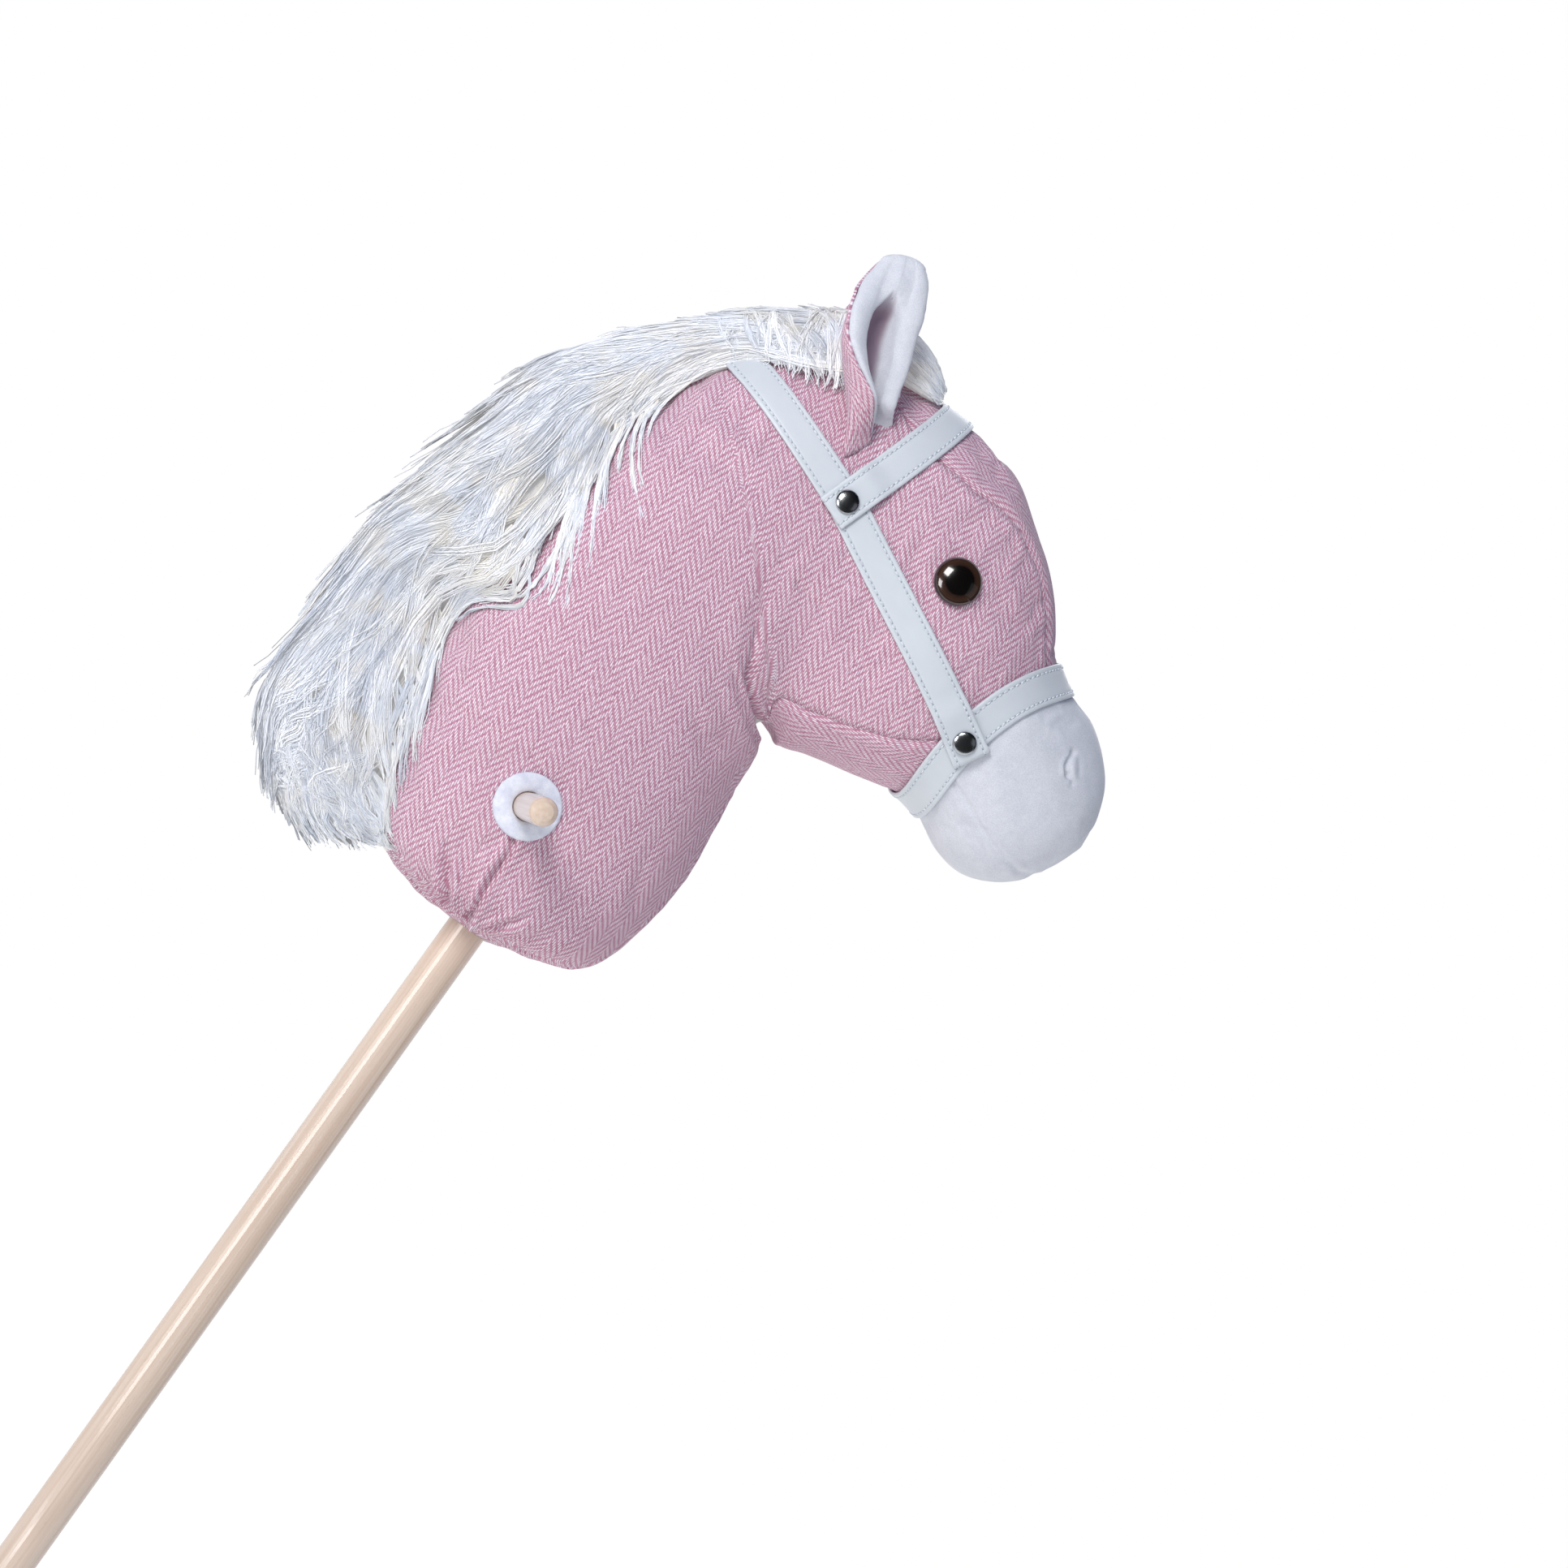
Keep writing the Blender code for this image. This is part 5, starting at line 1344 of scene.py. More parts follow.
def ear_points(length, turn, depth):
    """Points of the rolled leaf: the share of its length, the share of the way
    to its edges, and how deep they lie inside its outer face, in metres."""
    half = np.radians(soft_keys(EAR_OPENINGS, length))
    radius = soft_keys(EAR_HALF_WIDTHS, length) / 1000 / np.sin(np.minimum(half, math.pi / 2))
    root_turn = EAR_ROOT_TURN * (1 - smooth_step(length, 0, 0.5))
    angle = half * turn - root_turn + EAR_TIP_TURN * smooth_step(length, 0.5, 0.95)
    up, facing, across = np.array(ear_up), np.array(ear_faces), np.array(ear_across)
    seam = np.array(seam_ends[1] - seam_ends[0]) / 2
    arm = across * np.sin(angle)[..., None] - facing * np.cos(angle)[..., None]
    climb = up * (EAR_LENGTH * length)[..., None]
    rolled = np.array(ear_hinge) + climb + arm * (radius - depth)[..., None]
    rolled = rolled + facing * (radius * 0.35)[..., None]
    share = (1 - depth / radius)[..., None]
    folded = np.array(seam_middle) + seam * np.sin(angle)[..., None] * share
    folded = folded - facing * (np.cos(angle)[..., None] * EAR_PINCH * share) + climb
    blend = smooth_step(length, 0.0, 0.2)[..., None]
    return folded * (1 - blend) + rolled * blend


def ear_bend(side, length):
    """How far an ear's own bend moves points at these shares of its length."""
    keys = EAR_BENDS[side]
    x, z = [soft_keys([(key[0], key[axis]) for key in keys], length) for axis in (1, 2)]
    return np.stack([x, 0 * x, z], -1) / 1000


def ear_leaf(side, flip, made):
    """The outer leaf of cotton. It bends at the seam that holds it."""
    lengths = 0.985 * np.sin(np.linspace(0, math.pi / 2, 64))[:, None]
    turns = np.linspace(-1, 0.93, 61)[None, :]
    lengths, turns = np.broadcast_arrays(lengths, turns)
    outer = ear_points(lengths, turns, 0 * lengths)
    dents = ruffle(outer, 90, 0.0006) * smooth_step(lengths, 0, 0.2)
    outer = ear_points(lengths, turns, dents)
    inner = ear_points(lengths, turns, dents + EAR_CLOTH)
    run = np.cumsum(np.linalg.norm(np.diff(outer, axis=1, prepend=outer[:, :1]), axis=-1), axis=1)
    flat = np.stack([run - run[:, 30:31], lengths * EAR_LENGTH], -1)
    mirror = np.array((1, flip, 1))
    bend = ear_bend(side, lengths)
    piece = closed_sheet(f"ear_leaf_{side}", (outer + bend) * mirror, (inner + bend) * mirror, made, flat)
    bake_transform(piece)
    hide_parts(f"ear_{side}")


def lining_ring(length):
    """One ring of the lining: the shares of turn and the depths of its points.
    It goes round the front lip, through the hollow, round the back lip, and
    home along the leaf."""
    rise = float(soft_keys(LINING_RISES, np.array(length))) / 1000
    half = math.radians(float(soft_keys(EAR_OPENINGS, np.array(length))))
    radius = float(soft_keys(EAR_HALF_WIDTHS, np.array(length))) / 1000 / math.sin(min(half, math.pi / 2))
    front = float(smooth_step(length, 0.07, 0.2))
    back = float(smooth_step(length, 0.02, 0.08))
    closed = float(smooth_step(length, 0.64, 0.8))
    turns, depths = [], []
    front_rise, back_rise = rise * FRONT_LIP, rise * BACK_LIP
    for out, share in LIP:
        turns.append(1 + out * front_rise * front / (radius * half))
        depths.append(-LINING_GAP + (share * front_rise + LIP_PADDING) * front)
    for turn, share in HOLLOW:
        fullness = front_rise * front if turn > 0 else back_rise * back
        filled = radius - (radius - fullness) * math.cos(0.92 * half) / math.cos(half * turn)
        turns.append(turn)
        depths.append(EAR_CLOTH + LINING_GAP + share * fullness * (1 - closed) + filled * closed)
    for out, share in reversed(LIP):
        turns.append(-1 - out * back_rise * back / (radius * half))
        depths.append(-LINING_GAP + (share * back_rise + LIP_PADDING) * back)
    turns, depths = np.array(turns), np.array(depths)
    fine = np.linspace(0, len(turns) - 1, LINING_RING)
    knots = np.arange(len(turns))
    soft = np.array([0.25, 0.5, 0.25])
    ring = [np.interp(fine, knots, turns), np.interp(fine, knots, depths)]
    for values in ring:
        for _ in range(3):
            values[1:-1] = np.convolve(values, soft, "valid")
    back_turns = np.linspace(-0.96, 0.96, LINING_BACK)
    return (np.concatenate([ring[0], back_turns]),
            np.concatenate([ring[1], np.full(LINING_BACK, EAR_CLOTH + LINING_BACK_GAP)]))


def ear_lining(side, flip, made):
    """The padded velour lining: a thick lip along both edges, and a hollow."""
    lengths = np.concatenate([np.linspace(0.03, 0.82, 62), np.linspace(0.83, 0.945, 12)])
    rows = []
    for length in lengths:
        turns, depths = lining_ring(length)
        lengths_here = np.full(len(turns), length)
        rows.append(ear_points(lengths_here, turns, depths) + ear_bend(side, lengths_here))
    rows = np.array(rows)
    centre = rows.mean(1, keepdims=True)
    away = rows - centre
    away = away / (np.linalg.norm(away, axis=-1, keepdims=True) + 1e-9)
    bumps = ruffle(rows, 70, 0.0009) + ruffle(rows, 260, 0.0003)
    bumps[:, LINING_RING:] = 0
    rows = rows + away * bumps[..., None]
    last = rows[-1]
    middle = last.mean(0)
    cap = []
    for step in range(1, 8):
        turn = math.radians(step * 12)
        cap.append(middle + (last - middle) * math.cos(turn) + np.array(ear_up) * 0.0055 * math.sin(turn))
    piece = capped_tube(f"ear_lip_{side}", np.concatenate([rows, cap]) * np.array((1, flip, 1)), made)
    # The hollow mark tells the velour where to be painted greyer: painted shade in the trough.
    ring_place = np.abs(np.linspace(-1, 1, LINING_RING) - 0.05)
    sunk = np.concatenate([1 - smooth_step(ring_place, 0.15, 0.32), np.zeros(LINING_BACK)])
    reach = smooth_step(lengths, 0.05, 0.15) * (1 - smooth_step(lengths, 0.66, 0.8))
    shade = np.concatenate([sunk[None, :] * reach[:, None], np.zeros((len(cap), len(sunk)))])
    keep_values(piece.data, "hollow", "FLOAT", shade)
    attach(piece, f"{side}_ear")
    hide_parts(f"ear_lining_{side}")


ear_cotton = herringbone_cotton("ear_herringbone_cotton", 0.9)
ear_velour = white_velour("white_ear_velour", 1.2)
for side, flip in (("right", 1), ("left", -1)):
    ear_leaf(side, flip, ear_cotton)
    ear_lining(side, flip, ear_velour)


# Mane and forelock
# Long fine yarn, looped and sewn to a tape along the crest, then cut and
# brushed out. It stands behind the neck in locks that fall down it, with thin
# ends on the cloth and a ragged outline.

MANE_ROWS = np.array([
    (2.4, -106, -6, 1, 3),
    (2.6, -125, 2, 1, 4),
    (2.95, -143, 17, 1.2, 5),
    (3.5, -160, 38, 1.4, 6),
    (4, -165, 56, 1.5, 7),
    (5, -166, 96, 1.8, 8),
    (6.3, -168, 140, 2.2, 9),
    (6.9, -163, 178, 21, 10),
    (8, -155, 222, 19, 9),
    (9, -146, 263, 6, 8),
    (9.6, -132, 288, 2.2, 7),
    (10.2, -114, 312, 1.5, 6),
    (10.8, -90, 336, 2.5, 6),
    (11.4, -62, 364, 12, 6),
    (12, -24, 392, 15, 5),
    (12.4, 0, 402, 13, 4),
])
FORELOCK_ROWS = np.array([
    (12.46, 7, 403, 7, 4),
    (12.65, 17, 401, 7.5, 4),
    (12.85, 29, 396, 8, 4),
    (13.02, 38, 389, 7, 3.5),
    (13.11, 41, 382, 5, 2.5),
])
HAIR_ROOT = 0.0026
LOCK_RISE = 0.0045
GUIDE_POINTS = 9
STRAND_RADIUS = 0.00026
CORE_DEPTH = 0.003
CORE_ON_CLOTH = 0.0012
WISP_ON_CLOTH = 0.0014
WISP_RISE = 0.0004
POLL_END = 14.9
TAPE_HALF_WIDTH_MM = 9.0
TAPE_HEIGHTS = (0.0013, 0.0003)


def brushed_yarn(name):
    """Brushed acrylic yarn: fine bright fibres in cream, white and bluish white. Each strand has its own
    tint, and is warmer near its root. Its shading normals lean towards the lock's outward way, so a lock is
    shaded softly, and it glows a little in its own colour: painted light."""
    # Painted light: the emission makes the yarn glow in its own colour.
    made, tree, surface = start_material(name, Roughness=0.55, Sheen_Weight=0.2, Sheen_Roughness=0.4,
                                         Specular_IOR_Level=0.3, Emission_Strength=0.18)
    tint = mark(tree, "tint")
    cool = two_tones(tree, tint, "BFC7D6", "FCFDFF")
    warm = two_tones(tree, tint, "CFC7B9", "FFFCF6")
    rootward = maths(tree, "MULTIPLY_ADD", mark(tree, "along"), -0.9, 1.05)
    cream = remap(tree, noise_texture(tree, object_place(tree), 38), 0.4, 0.62, smooth=True)
    share = maths(tree, "MULTIPLY", cream, rootward, use_clamp=True)
    tone = two_tones(tree, share, cool, warm)
    outward = vector_maths(tree, "NORMALIZE", mark(tree, "deep", "Vector"))
    own = add_node(tree, "ShaderNodeNewGeometry", out="Normal")
    soft = add_node(tree, "ShaderNodeMix", {0: 0.42, 4: outward, 5: own}, out=1, data_type="VECTOR")
    feed(surface, Base_Color=tone, Normal=vector_maths(tree, "NORMALIZE", soft), Emission_Color=tone)
    return made


def matted_yarn(name):
    """The inner yarn of the mane and its tape, seen only between strands: cream, with fine streaks that are
    drawn out down the neck. It glows a little in its own colour: painted light."""
    # Painted light: the emission makes the inner yarn glow in its own colour.
    made, tree, surface = start_material(name, Roughness=0.9, Emission_Strength=0.14)
    stretched = add_node(tree, "ShaderNodeMapping", {"Vector": object_place(tree), "Scale": (900, 900, 120),
                                                     "Rotation": (0, math.radians(20), 0)})
    streaks = noise_texture(tree, stretched, 1, 3, 0.6)
    tone = two_tones(tree, streaks, "DDDCDC", "F1EFEA")
    feed(surface, Base_Color=tone, Emission_Color=tone)
    emboss(surface, streaks, 0.7, 0.0008)
    return made


def hair_bed(table, row, share):
    """Points of the cloth that the hair grows on, and their directions."""
    section, depth = np.moveaxis(smooth_rows(table, row), -1, 0)[[0, 3]]
    angle = angle_at_depth(section, depth) * share
    section = section + 0 * angle
    return form(section, angle), form_normal(section, angle)


def hair_points(table, row, share):
    """Points on the mass of hair. The share is 0 on its ridge and 1 at its
    edge on the right side, and past 1 the points lie on the cloth."""
    row, share = np.broadcast_arrays(np.asarray(row, float), np.asarray(share, float))
    past = np.minimum(row, 0)[..., None]
    section, tip_x, tip_z, depth, side = np.moveaxis(smooth_rows(table, row), -1, 0)
    edge = angle_at_depth(section, depth)
    tip = np.stack([tip_x, 0 * tip_x, tip_z], -1) / 1000 + (0, 0, NECK_END)
    crest = form(section, 0) + form_normal(section, 0 * section) * (HAIR_ROOT + side / 1000)[..., None]
    reach = tip - crest
    far = np.linalg.norm(reach, axis=-1, keepdims=True)
    reach = reach - reach / far * np.minimum(LOCK_RISE, 0.4 * far)
    puff = np.cos(np.minimum(np.abs(share), 1) * math.pi / 2) ** 0.85
    off = smooth_step(np.abs(share), 0.95, 1.2)
    lift = (1 - off) * (HAIR_ROOT + side / 1000 * (0.2 + 0.8 * puff)) + off * WISP_ON_CLOTH
    angle = edge * share
    points = form(section, angle) + form_normal(section, angle) * lift[..., None] + reach * puff[..., None]
    if past.min() < 0:
        inside = hair_points(table, np.full(row.shape, 0.5), share)
        points = points + (inside - points) * past * 2
    return points


def hair_mass(name, table, first, reach, made):
    """The closed inner mass of matted yarn, astride the crest, from a row on.
    It lies 3 mm under the outer locks."""
    rows = np.linspace(first, len(table) - 1, (len(table) - 1) * 8 + 1)[:, None]
    shares = np.linspace(-reach, reach, 61)[None, :]
    outer = hair_points(table, rows, shares)
    inner, normals = hair_bed(table, rows, shares)
    out = np.cross(np.gradient(outer, axis=1), np.gradient(outer, axis=0))
    out /= np.linalg.norm(out, axis=-1, keepdims=True) + 1e-12
    out *= np.sign(np.sum(out * (outer - inner)))
    clump = ruffle(outer * (1, 1, 0.35), 240, 0.001)
    outer = outer + out * (clump - CORE_DEPTH)[..., None]
    piece = closed_sheet(name, outer, inner + normals * CORE_ON_CLOTH, made)
    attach(piece, "horse")
    return piece


def lock_lines(table, locks):
    """Middle lines of locks of yarn. Each lock has its first and last row and
    share, how far it rises off the mass in mm at its middle and at its tip,
    its half width and half thickness in mm, and the seed of its waves."""
    along = np.linspace(0, 1, GUIDE_POINTS)[None, :]
    columns = [np.array([lock[number] for lock in locks])[:, None] for number in range(9)]
    row_from, row_to, share_from, share_to, middle, tip, width, thick, seed = columns
    row = row_from + (row_to - row_from) * along
    share = share_from + (share_to - share_from) * along ** 1.25
    share = share + 0.055 * np.sin(along * 5.2 + seed * 7) * np.sin(math.pi * along)
    base = hair_points(table, row, share)
    around = hair_points(table, row, share + 0.02) - base
    ahead = np.gradient(base, axis=1)
    out = np.cross(around, ahead)
    out /= np.linalg.norm(out, axis=-1, keepdims=True) + 1e-12
    body = base - (hair_points(table, row, 0.999) + hair_points(table, row, -0.999)) / 2
    out *= np.where((out * body).sum(-1, keepdims=True) < 0, -1, 1)
    sideways = np.cross(ahead, out)
    sideways /= np.linalg.norm(sideways, axis=-1, keepdims=True) + 1e-12
    rise = (-0.0012 * (1 - along) ** 2 + middle / 1000 * np.sin(math.pi * along) + tip / 1000 * along ** 2.2)
    over_cloth = smooth_step(np.abs(share), 0.95, 1.15)
    rise = rise * (1 - over_cloth) + WISP_RISE * over_cloth
    points = base + out * rise[..., None]
    spread = 0.45 + 0.75 * np.sin(math.pi * np.minimum(along * 0.9 + 0.1, 1)) - 0.22 * along
    wide = sideways * (width / 1000 * spread)[..., None]
    deep = out * (thick / 1000 * spread * (1 - 0.72 * over_cloth))[..., None]
    return points, wide, deep


def strand_tree(made):
    """Turns each middle line into a lock of strands of its own random set, with
    a slight wave, uneven lengths and thinner ends."""
    tree, start, end, ids = node_tree("yarn_locks", {"Strands": "Int", "Strand Radius": "Float",
                                                     "Wave": "Float", "Seed": "Int"})
    lines = add_node(tree, "GeometryNodeMeshToCurve", {0: start.outputs[0]})
    many = add_node(tree, "GeometryNodeDuplicateElements",
                    {"Geometry": lines, "Amount": start.outputs["Strands"]}, domain="SPLINE")
    index = add_node(tree, "GeometryNodeInputIndex")
    number = store(tree, many, "strand", index, "INT", "CURVE")
    strand = stored(tree, "strand", "INT")
    spread = add_node(tree, "FunctionNodeRandomValue",
                      {0: (-1, -1, 0), 1: (1, 1, 1), "ID": strand, "Seed": start.outputs["Seed"]},
                      data_type="FLOAT_VECTOR")
    to_side, to_depth = parts_of(tree, spread)[:2]
    wide = stored(tree, "wide")
    deep = stored(tree, "deep")
    along = add_node(tree, "GeometryNodeSplineParameter", out="Factor")
    shift = vector_maths(tree, "ADD", vector_maths(tree, "SCALE", wide, to_side),
                         vector_maths(tree, "SCALE", deep, to_depth))
    place = add_node(tree, "GeometryNodeInputPosition")
    phase = maths(tree, "MULTIPLY", strand, 0.173)
    waver = add_node(tree, "ShaderNodeTexNoise", {"Vector": place, "W": phase, "Scale": 55, "Detail": 1},
                     out="Color", noise_dimensions="4D")
    centred = vector_maths(tree, "SUBTRACT", waver, (0.5, 0.5, 0.5))
    growing = maths(tree, "MULTIPLY", along, start.outputs["Wave"])
    waves = vector_maths(tree, "SCALE", centred, growing)
    moved = vector_maths(tree, "ADD", shift, waves)
    spread_out = add_node(tree, "GeometryNodeSetPosition", {"Geometry": number, "Offset": moved})
    length = add_node(tree, "FunctionNodeRandomValue", {2: 0.55, 3: 1, "ID": strand, "Seed": 7},
                      out=1, data_type="FLOAT")
    cut = add_node(tree, "GeometryNodeTrimCurve", {"Curve": spread_out, "End": length})
    kept_along = add_node(tree, "GeometryNodeSplineParameter", out="Factor")
    marked = store(tree, cut, "along", kept_along, "FLOAT", "POINT")
    tint = add_node(tree, "FunctionNodeRandomValue", {"ID": strand, "Seed": 11}, out=1, data_type="FLOAT")
    shade = stored(tree, "shade", "FLOAT")
    mixed = maths(tree, "MULTIPLY_ADD", tint, 0.35, shade)
    tinted = store(tree, marked, "tint", mixed, "FLOAT", "POINT")
    tail = maths(tree, "POWER", kept_along, 4.0)
    thin = maths(tree, "MULTIPLY_ADD", tail, -0.65, 1.0)
    sized = add_node(tree, "GeometryNodeSetCurveRadius", {"Curve": tinted, "Radius": thin})
    ring = add_node(tree, "GeometryNodeCurvePrimitiveCircle",
                    {"Resolution": 3, "Radius": start.outputs["Strand Radius"]})
    tubes = add_node(tree, "GeometryNodeCurveToMesh",
                     {"Curve": sized, "Profile Curve": ring, "Fill Caps": True})
    close_tree(tree, end, tubes, made)
    return tree, ids


def locks_of_yarn(name, table, locks, strands, wave, made):
    """One piece of the mane: locks of strands along their middle lines."""
    locks = list(locks)
    points, wide, deep = lock_lines(table, locks)
    count, length = points.shape[:2]
    mesh = bpy.data.meshes.new(f"{name}_lines")
    edges = [(k * length + i, k * length + i + 1) for k in range(count) for i in range(length - 1)]
    mesh.from_pydata(points.reshape(-1, 3).tolist(), edges, [])
    keep_values(mesh, "wide", "FLOAT_VECTOR", wide)
    keep_values(mesh, "deep", "FLOAT_VECTOR", deep)
    keep_values(mesh, "shade", "FLOAT", np.repeat([0.65 * lock[-1] for lock in locks], length))
    sizes = {"Strands": strands, "Strand Radius": STRAND_RADIUS, "Wave": wave, "Seed": len(name)}
    piece = grown(name, mesh, yarn_tree, yarn_ids, sizes, made)
    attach(piece, "horse")
    return piece


def spread_starts(low, high, count, seed):
    """Evenly spread starts of locks, with the random numbers for the rest."""
    chance = random.Random(seed)
    for number in range(count):
        yield low + (high - low) * (number + chance.random()) / count, chance


def side_locks(side, low, high, count, seed):
    """Locks of one side of the mane, which start at the tape between two rows.
    Most fall down the neck, some run out to the ragged ridge, and the rest
    hang over the edge and lie on the cloth in thin wisps."""
    for first, chance in spread_starts(low, high, count, seed):
        fall = chance.uniform(2.3, 3.3) if first < 10.5 else chance.uniform(2.2, 3.8)
        last = max(first - fall, chance.uniform(0.25, 2.2))
        kind = chance.random() if first < 11.5 else chance.uniform(0, 0.84)
        if kind < 0.28:
            share = (chance.uniform(0.3, 0.8), chance.uniform(-0.05, 0.25))
            rise = (chance.uniform(0.0, 1.6), chance.uniform(-1.0, 4.0))
            size = (chance.uniform(1.6, 3.4), chance.uniform(0.9, 1.6))
        elif kind < 0.64:
            share = (chance.uniform(0.35, 0.9), chance.uniform(0.25, 1.0))
            rise = (chance.uniform(0.2, 2.0), chance.uniform(-0.5, 0.8))
            size = (chance.uniform(1.8, 3.6), chance.uniform(0.9, 1.6))
        elif kind < 0.84:
            share = (chance.uniform(0.5, 0.95), chance.uniform(0.92, 1.12))
            rise = (chance.uniform(0.2, 1.2), 0.0)
            size = (chance.uniform(1.4, 2.8), chance.uniform(0.7, 1.3))
        else:
            last = max(first - chance.uniform(1.2, 2.2), 0.6)
            over = chance.uniform(1.1, 1.5) if 6 < last < 8.5 else chance.uniform(1.2, 2.7)
            share = (chance.uniform(0.8, 1.0), over)
            rise = (chance.uniform(0.2, 0.8), 0.0)
            size = (chance.uniform(0.4, 1.1), chance.uniform(0.3, 0.6))
        yield (first, last, side * share[0], side * share[1], *rise, *size, chance.random())


def poll_locks(side, count, seed):
    """Short tousled locks behind the ears, which fall straight down from the
    ridge to both sides of the headpiece."""
    for first, chance in spread_starts(12.4, POLL_END, count, seed):
        yield (first, min(first + chance.uniform(-1.1, 0.7), POLL_END), side * chance.uniform(-0.1, 0.4),
               side * chance.uniform(0.95, 1.25), chance.uniform(0.5, 4.5), 0.0, chance.uniform(0.7, 1.7),
               chance.uniform(0.6, 1.2), chance.random())


def ridge_locks(count, thin, seed):
    """Locks along the ridge. The thin ones stand out as stray tips, the lowest
    ones hang down and those on the poll are short, for a ragged outline."""
    for first, chance in spread_starts(15.3, 1.7, count, seed):
        last = max(first - chance.uniform(2.0, 3.4), chance.uniform(-0.2, 2.0))
        share = chance.uniform(-0.3, 0.3)
        rise = chance.uniform(-1.5, 4.0)
        if thin < 1:
            rise = chance.choice((1.0, 4.0, 9.0)) * chance.uniform(0.6, 1.5)
        if first > 11.5:
            last = first - chance.uniform(0.5, 1.6)
            rise = chance.uniform(-1.0, 4.5)
        yield (first, last, share, 0.6 * share, chance.uniform(0, 1.5), rise,
               thin * chance.uniform(2.0, 4.0), thin * chance.uniform(1.0, 2.0), chance.random())


def end_locks(count, seed):
    """Pointed tufts at the mane's lower end, which hang free."""
    for share, chance in spread_starts(-0.9, 0.9, count, seed):
        reach = chance.choice((-0.85, -0.6, -0.35, 0.0, 0.3))
        yield (chance.uniform(1.3, 3.2), reach, 0.9 * share, share, chance.uniform(0.2, 1.5),
               chance.uniform(0.0, 9.0), chance.uniform(0.7, 1.6), chance.uniform(0.6, 1.1), chance.random())


def forelock_locks(count, seed):
    """Locks that fall forward between the ears to the browband."""
    for share, chance in spread_starts(-1, 1, count, seed):
        yield (-0.6, chance.uniform(3.7, 4.3), 0.85 * share, share, chance.uniform(0.2, 1.4),
               chance.uniform(-0.4, 0.6), chance.uniform(0.7, 1.6), chance.uniform(0.6, 1.2),
               chance.random())


yarn = brushed_yarn("brushed_acrylic_yarn")
yarn_tree, yarn_ids = strand_tree(yarn)
matted = matted_yarn("matted_inner_yarn")
tape_ribs = np.linspace(2.2, 12.4, 141)[:, None]
tape_turns = angle_for(tape_ribs, TAPE_HALF_WIDTH_MM) * np.linspace(-1, 1, 13)[None, :]
tape_ribs = tape_ribs + 0 * tape_turns
tape_rows = [form(tape_ribs, tape_turns) + form_normal(tape_ribs, tape_turns) * height
             for height in TAPE_HEIGHTS]
tape = closed_sheet("sewn_tape", *tape_rows, matted)
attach(tape, "horse")
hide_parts("mane_tape")
core = hair_mass("mane_core", MANE_ROWS, 0.8, 0.78, matted)
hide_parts("mane")
front = hair_mass("forelock_core", FORELOCK_ROWS, 0, 0.7, matted)
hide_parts("forelock")
for side, word in ((1, "right"), (-1, "left")):
    for part, (low, high) in enumerate(((1.0, 5.6), (5.2, 10.2), (9.8, 15.2))):
        locks = side_locks(side, low, high, 150, 20 * part + side)
        locks_of_yarn(f"mane_{word}_{part + 1}", MANE_ROWS, locks, 20, 0.008, yarn)
    locks_of_yarn(f"poll_yarn_{word}", MANE_ROWS, poll_locks(side, 130, 40 + side), 12, 0.008, yarn)
locks_of_yarn("mane_ridge", MANE_ROWS, ridge_locks(120, 0.8, 5), 22, 0.006, yarn)
locks_of_yarn("mane_stray_tips", MANE_ROWS, ridge_locks(150, 0.4, 6), 9, 0.010, yarn)
locks_of_yarn("mane_end_tufts", MANE_ROWS, end_locks(90, 12), 18, 0.003, yarn)
locks_of_yarn("forelock_yarn", FORELOCK_ROWS, forelock_locks(110, 9), 16, 0.007, yarn)


# Floor, light and camera
# A white floor under soft light, as in a studio for cut-out pictures. The
# camera looks at the horse's right side from a little behind and below.

LOOK_AT = Vector((0.0939, 0, 0.747))
CAMERA_DISTANCE = 2.6
VIEW_WIDTH = 0.840
SENSOR_WIDTH_MM = 36


def camera_or_mirror(tree):
    """1 for the camera and for what it sees in reflections or through glass."""
    camera = add_node(tree, "ShaderNodeLightPath", out="Is Camera Ray")
    mirror, glass = [camera.node.outputs[name] for name in ("Is Glossy Ray", "Is Transmission Ray")]
    return maths(tree, "MAXIMUM", maths(tree, "MAXIMUM", camera, mirror), glass)


def white_floor():
    """A matt white floor. The camera sees it white, with the soft shadow."""
    made = bpy.data.materials.new("matt_white_floor")
    made.use_nodes = True
    tree = made.node_tree
    tree.nodes.clear()
    paint = add_node(tree, "ShaderNodeBsdfDiffuse", {"Color": hex_colour("F2F2F2")})
    glow = add_node(tree, "ShaderNodeEmission", {"Color": (1, 1, 1, 1), "Strength": 1.07})
    share = maths(tree, "MULTIPLY_ADD", camera_or_mirror(tree), 0.1, 0.85)
    mix = add_node(tree, "ShaderNodeMixShader", {0: share, 1: paint, 2: glow})
    tree.links.new(mix, tree.nodes.new("ShaderNodeOutputMaterial").inputs[0])
    return made


def studio_world():
    """White for the camera and in reflections. Elsewhere it fills the shadows,
    less from the front of the horse, where the studio is dark."""
    world = bpy.data.worlds.new("studio")
    bpy.context.scene.world = world
    world.use_nodes = True
    tree = world.node_tree
    tree.nodes.clear()
    way = add_node(tree, "ShaderNodeTexCoord", out="Generated")
    lit = remap(tree, parts_of(tree, way)[0], -0.8, 0.8, 0.5, 0.26)
    fill = add_node(tree, "ShaderNodeBackground", {"Color": hex_colour("D3E0FF"), "Strength": lit})
    white = add_node(tree, "ShaderNodeBackground", {"Color": (1, 1, 1, 1), "Strength": 1.0})
    mix = add_node(tree, "ShaderNodeMixShader", {0: camera_or_mirror(tree), 1: fill, 2: white})
    tree.links.new(mix, tree.nodes.new("ShaderNodeOutputWorld").inputs[0])


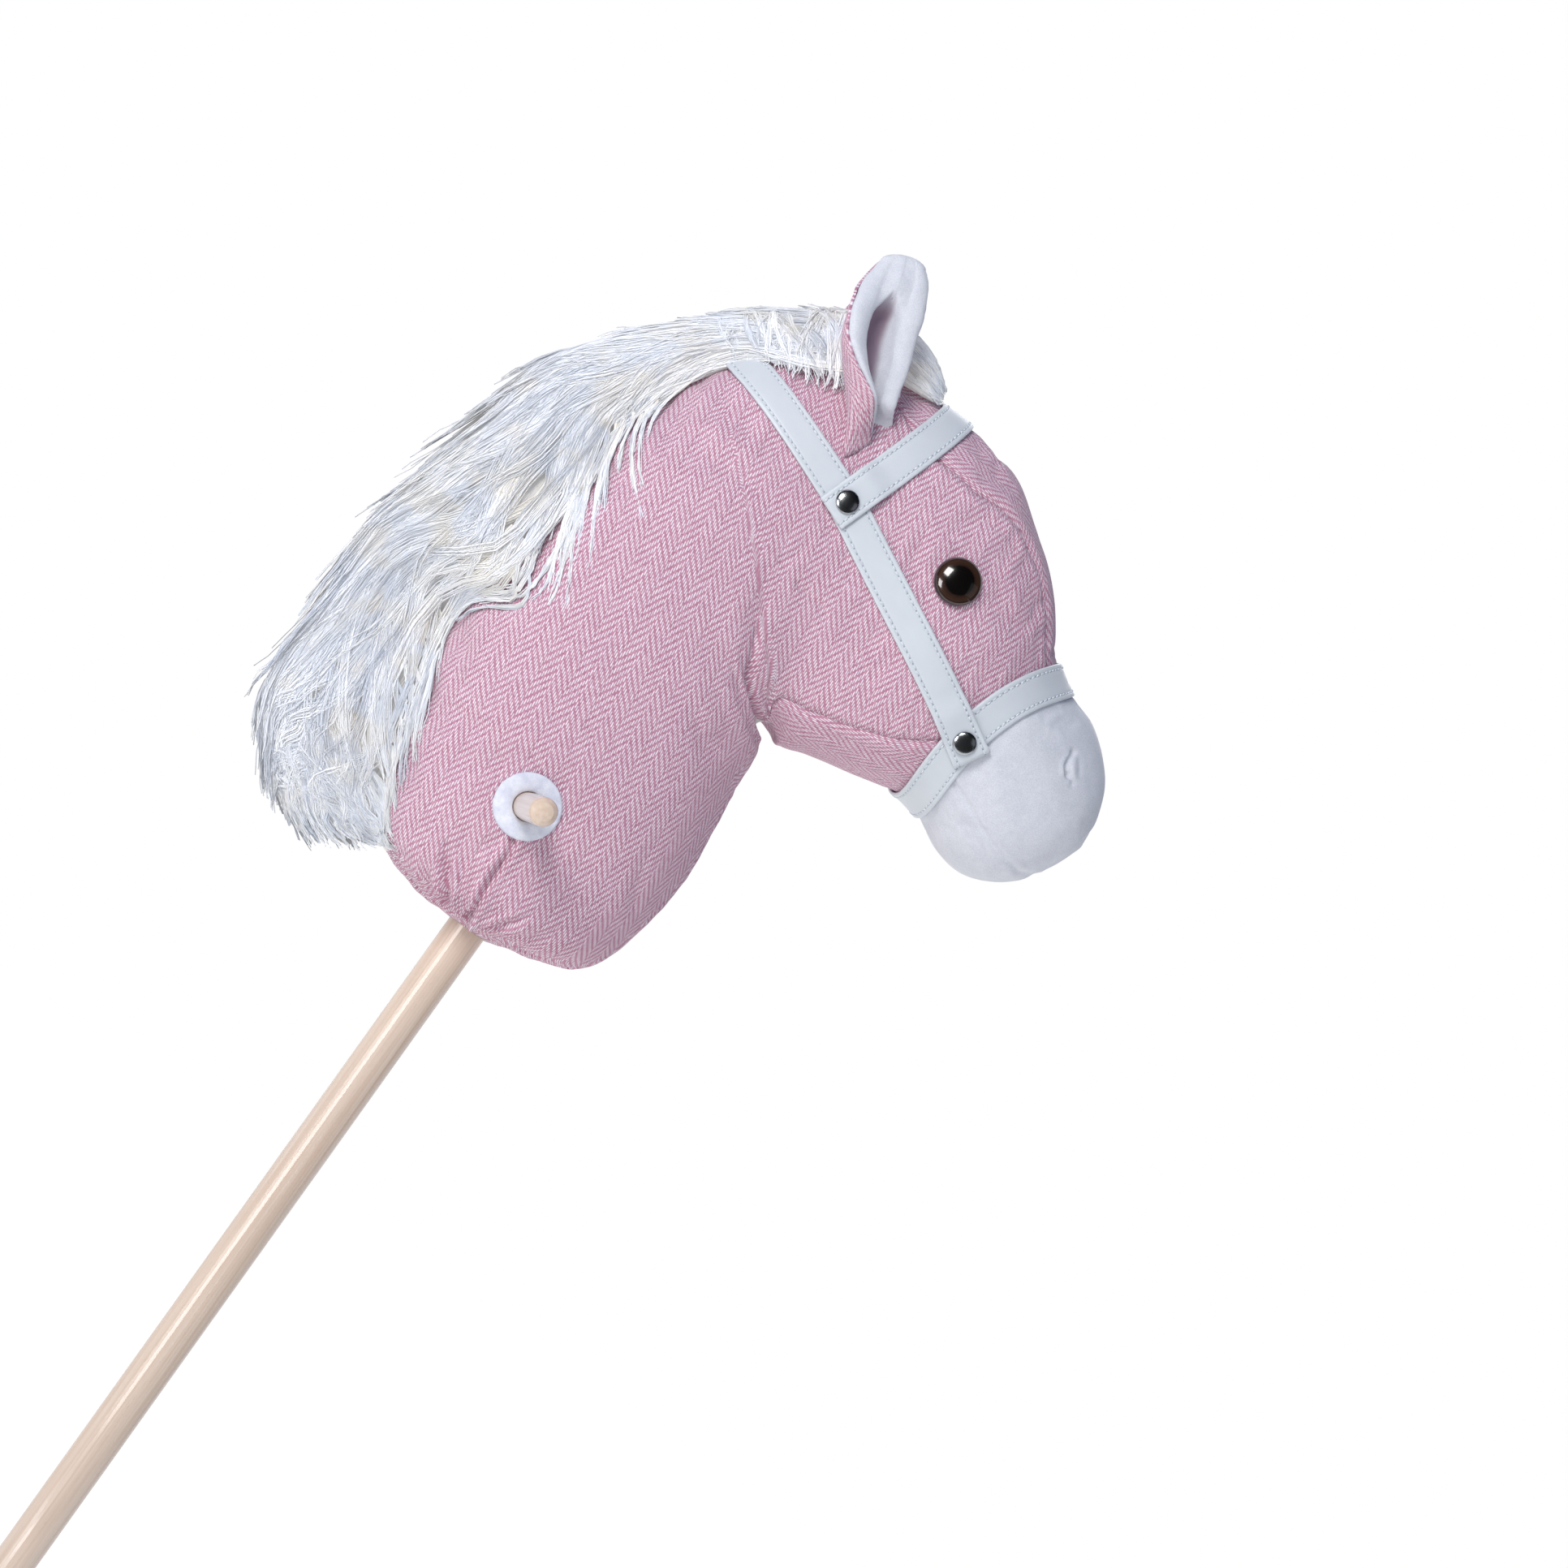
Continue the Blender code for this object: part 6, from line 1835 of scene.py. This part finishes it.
def soft_lamp(name, direction, distance, size, watts, colour, at=LOOK_AT):
    """A large soft lamp that points at the head, or at another point."""
    data = bpy.data.lights.new(name, "AREA")
    data.shape = "RECTANGLE"
    data.size, data.size_y = size
    data.energy = watts
    data.color = hex_colour(colour)[:3]
    lamp = placed(name, data)
    away = Vector(direction).normalized()
    lamp.location = at + away * distance
    lamp.rotation_euler = away.to_track_quat("Z", "Y").to_euler()
    return lamp


def dark_studio():
    """The unlit studio round the camera. Only reflections show it: it makes
    the eyes black, and gives the rivets and the lacquer their contrast."""
    mesh = bpy.data.meshes.new("dark_studio")
    low = [(-3.4, 0.6), (-3.0, -3.0), (3.0, -3.0), (3.4, 0.6)]
    spots = [(x, y, z) for z in (0.15, 3.2) for x, y in low]
    spots += [(-3.0, -0.3, 0.15), (3.0, -0.3, 0.15)]
    mesh.from_pydata(spots, [], [(0, 1, 5, 4), (1, 2, 6, 5), (2, 3, 7, 6), (4, 5, 6, 7), (1, 2, 9, 8)])
    made, _, _ = start_material("unlit_studio_black", Base_Color=hex_colour("08080A"), Roughness=1.0,
                                Specular_IOR_Level=0.0)
    mesh.materials.append(made)
    card = placed("dark_studio", mesh)
    card.visible_camera = card.visible_diffuse = card.visible_shadow = card.visible_transmission = False


def place_camera():
    """The camera is rolled, so the stick runs from the lower left."""
    azimuth, elevation, roll = math.radians(-9), math.radians(-4), math.radians(35.4)
    back = Vector((math.sin(azimuth) * math.cos(elevation), -math.cos(azimuth) * math.cos(elevation),
                   math.sin(elevation)))
    level = Vector((math.cos(azimuth), math.sin(azimuth), 0))
    upright = back.cross(level)
    right = level * math.cos(roll) + upright * math.sin(roll)
    up = upright * math.cos(roll) - level * math.sin(roll)
    data = bpy.data.cameras.new("camera")
    data.sensor_width = SENSOR_WIDTH_MM
    data.lens = SENSOR_WIDTH_MM * CAMERA_DISTANCE / VIEW_WIDTH
    data.clip_end = 20
    camera = placed("camera", data)
    turn = Matrix((right, up, back)).transposed().to_4x4()
    camera.matrix_world = Matrix.Translation(LOOK_AT + back * CAMERA_DISTANCE) @ turn
    bpy.context.scene.camera = camera


floor_mesh = bpy.data.meshes.new("floor")
floor_mesh.from_pydata([(-8, -8, 0), (8, -8, 0), (8, 8, 0), (-8, 8, 0)], [], [(0, 1, 2, 3)])
floor_mesh.materials.append(white_floor())
floor = placed("floor", floor_mesh)
studio_world()
dark_studio()
soft_lamp("key", (-0.8, -1.0, 0.5), 2.2, (0.8, 0.8), 30, "FFFDFA")
soft_lamp("fill", (0.9, -0.8, 0.3), 2.6, (1.6, 1.6), 1.5, "F4F7FF")
strip = soft_lamp("strip", (-0.7, -0.72, 0), 1.0, (0.4, 0.62), 7.0, "FFFFFF", Vector((0, 0, 0.34)))
strip.visible_diffuse = False
soft_lamp("back", (0.1, 1.0, 0.6), 2.4, (1.4, 1.4), 14, "FFFFFF")
place_camera()
bpy.context.scene.view_settings.view_transform = "Standard"
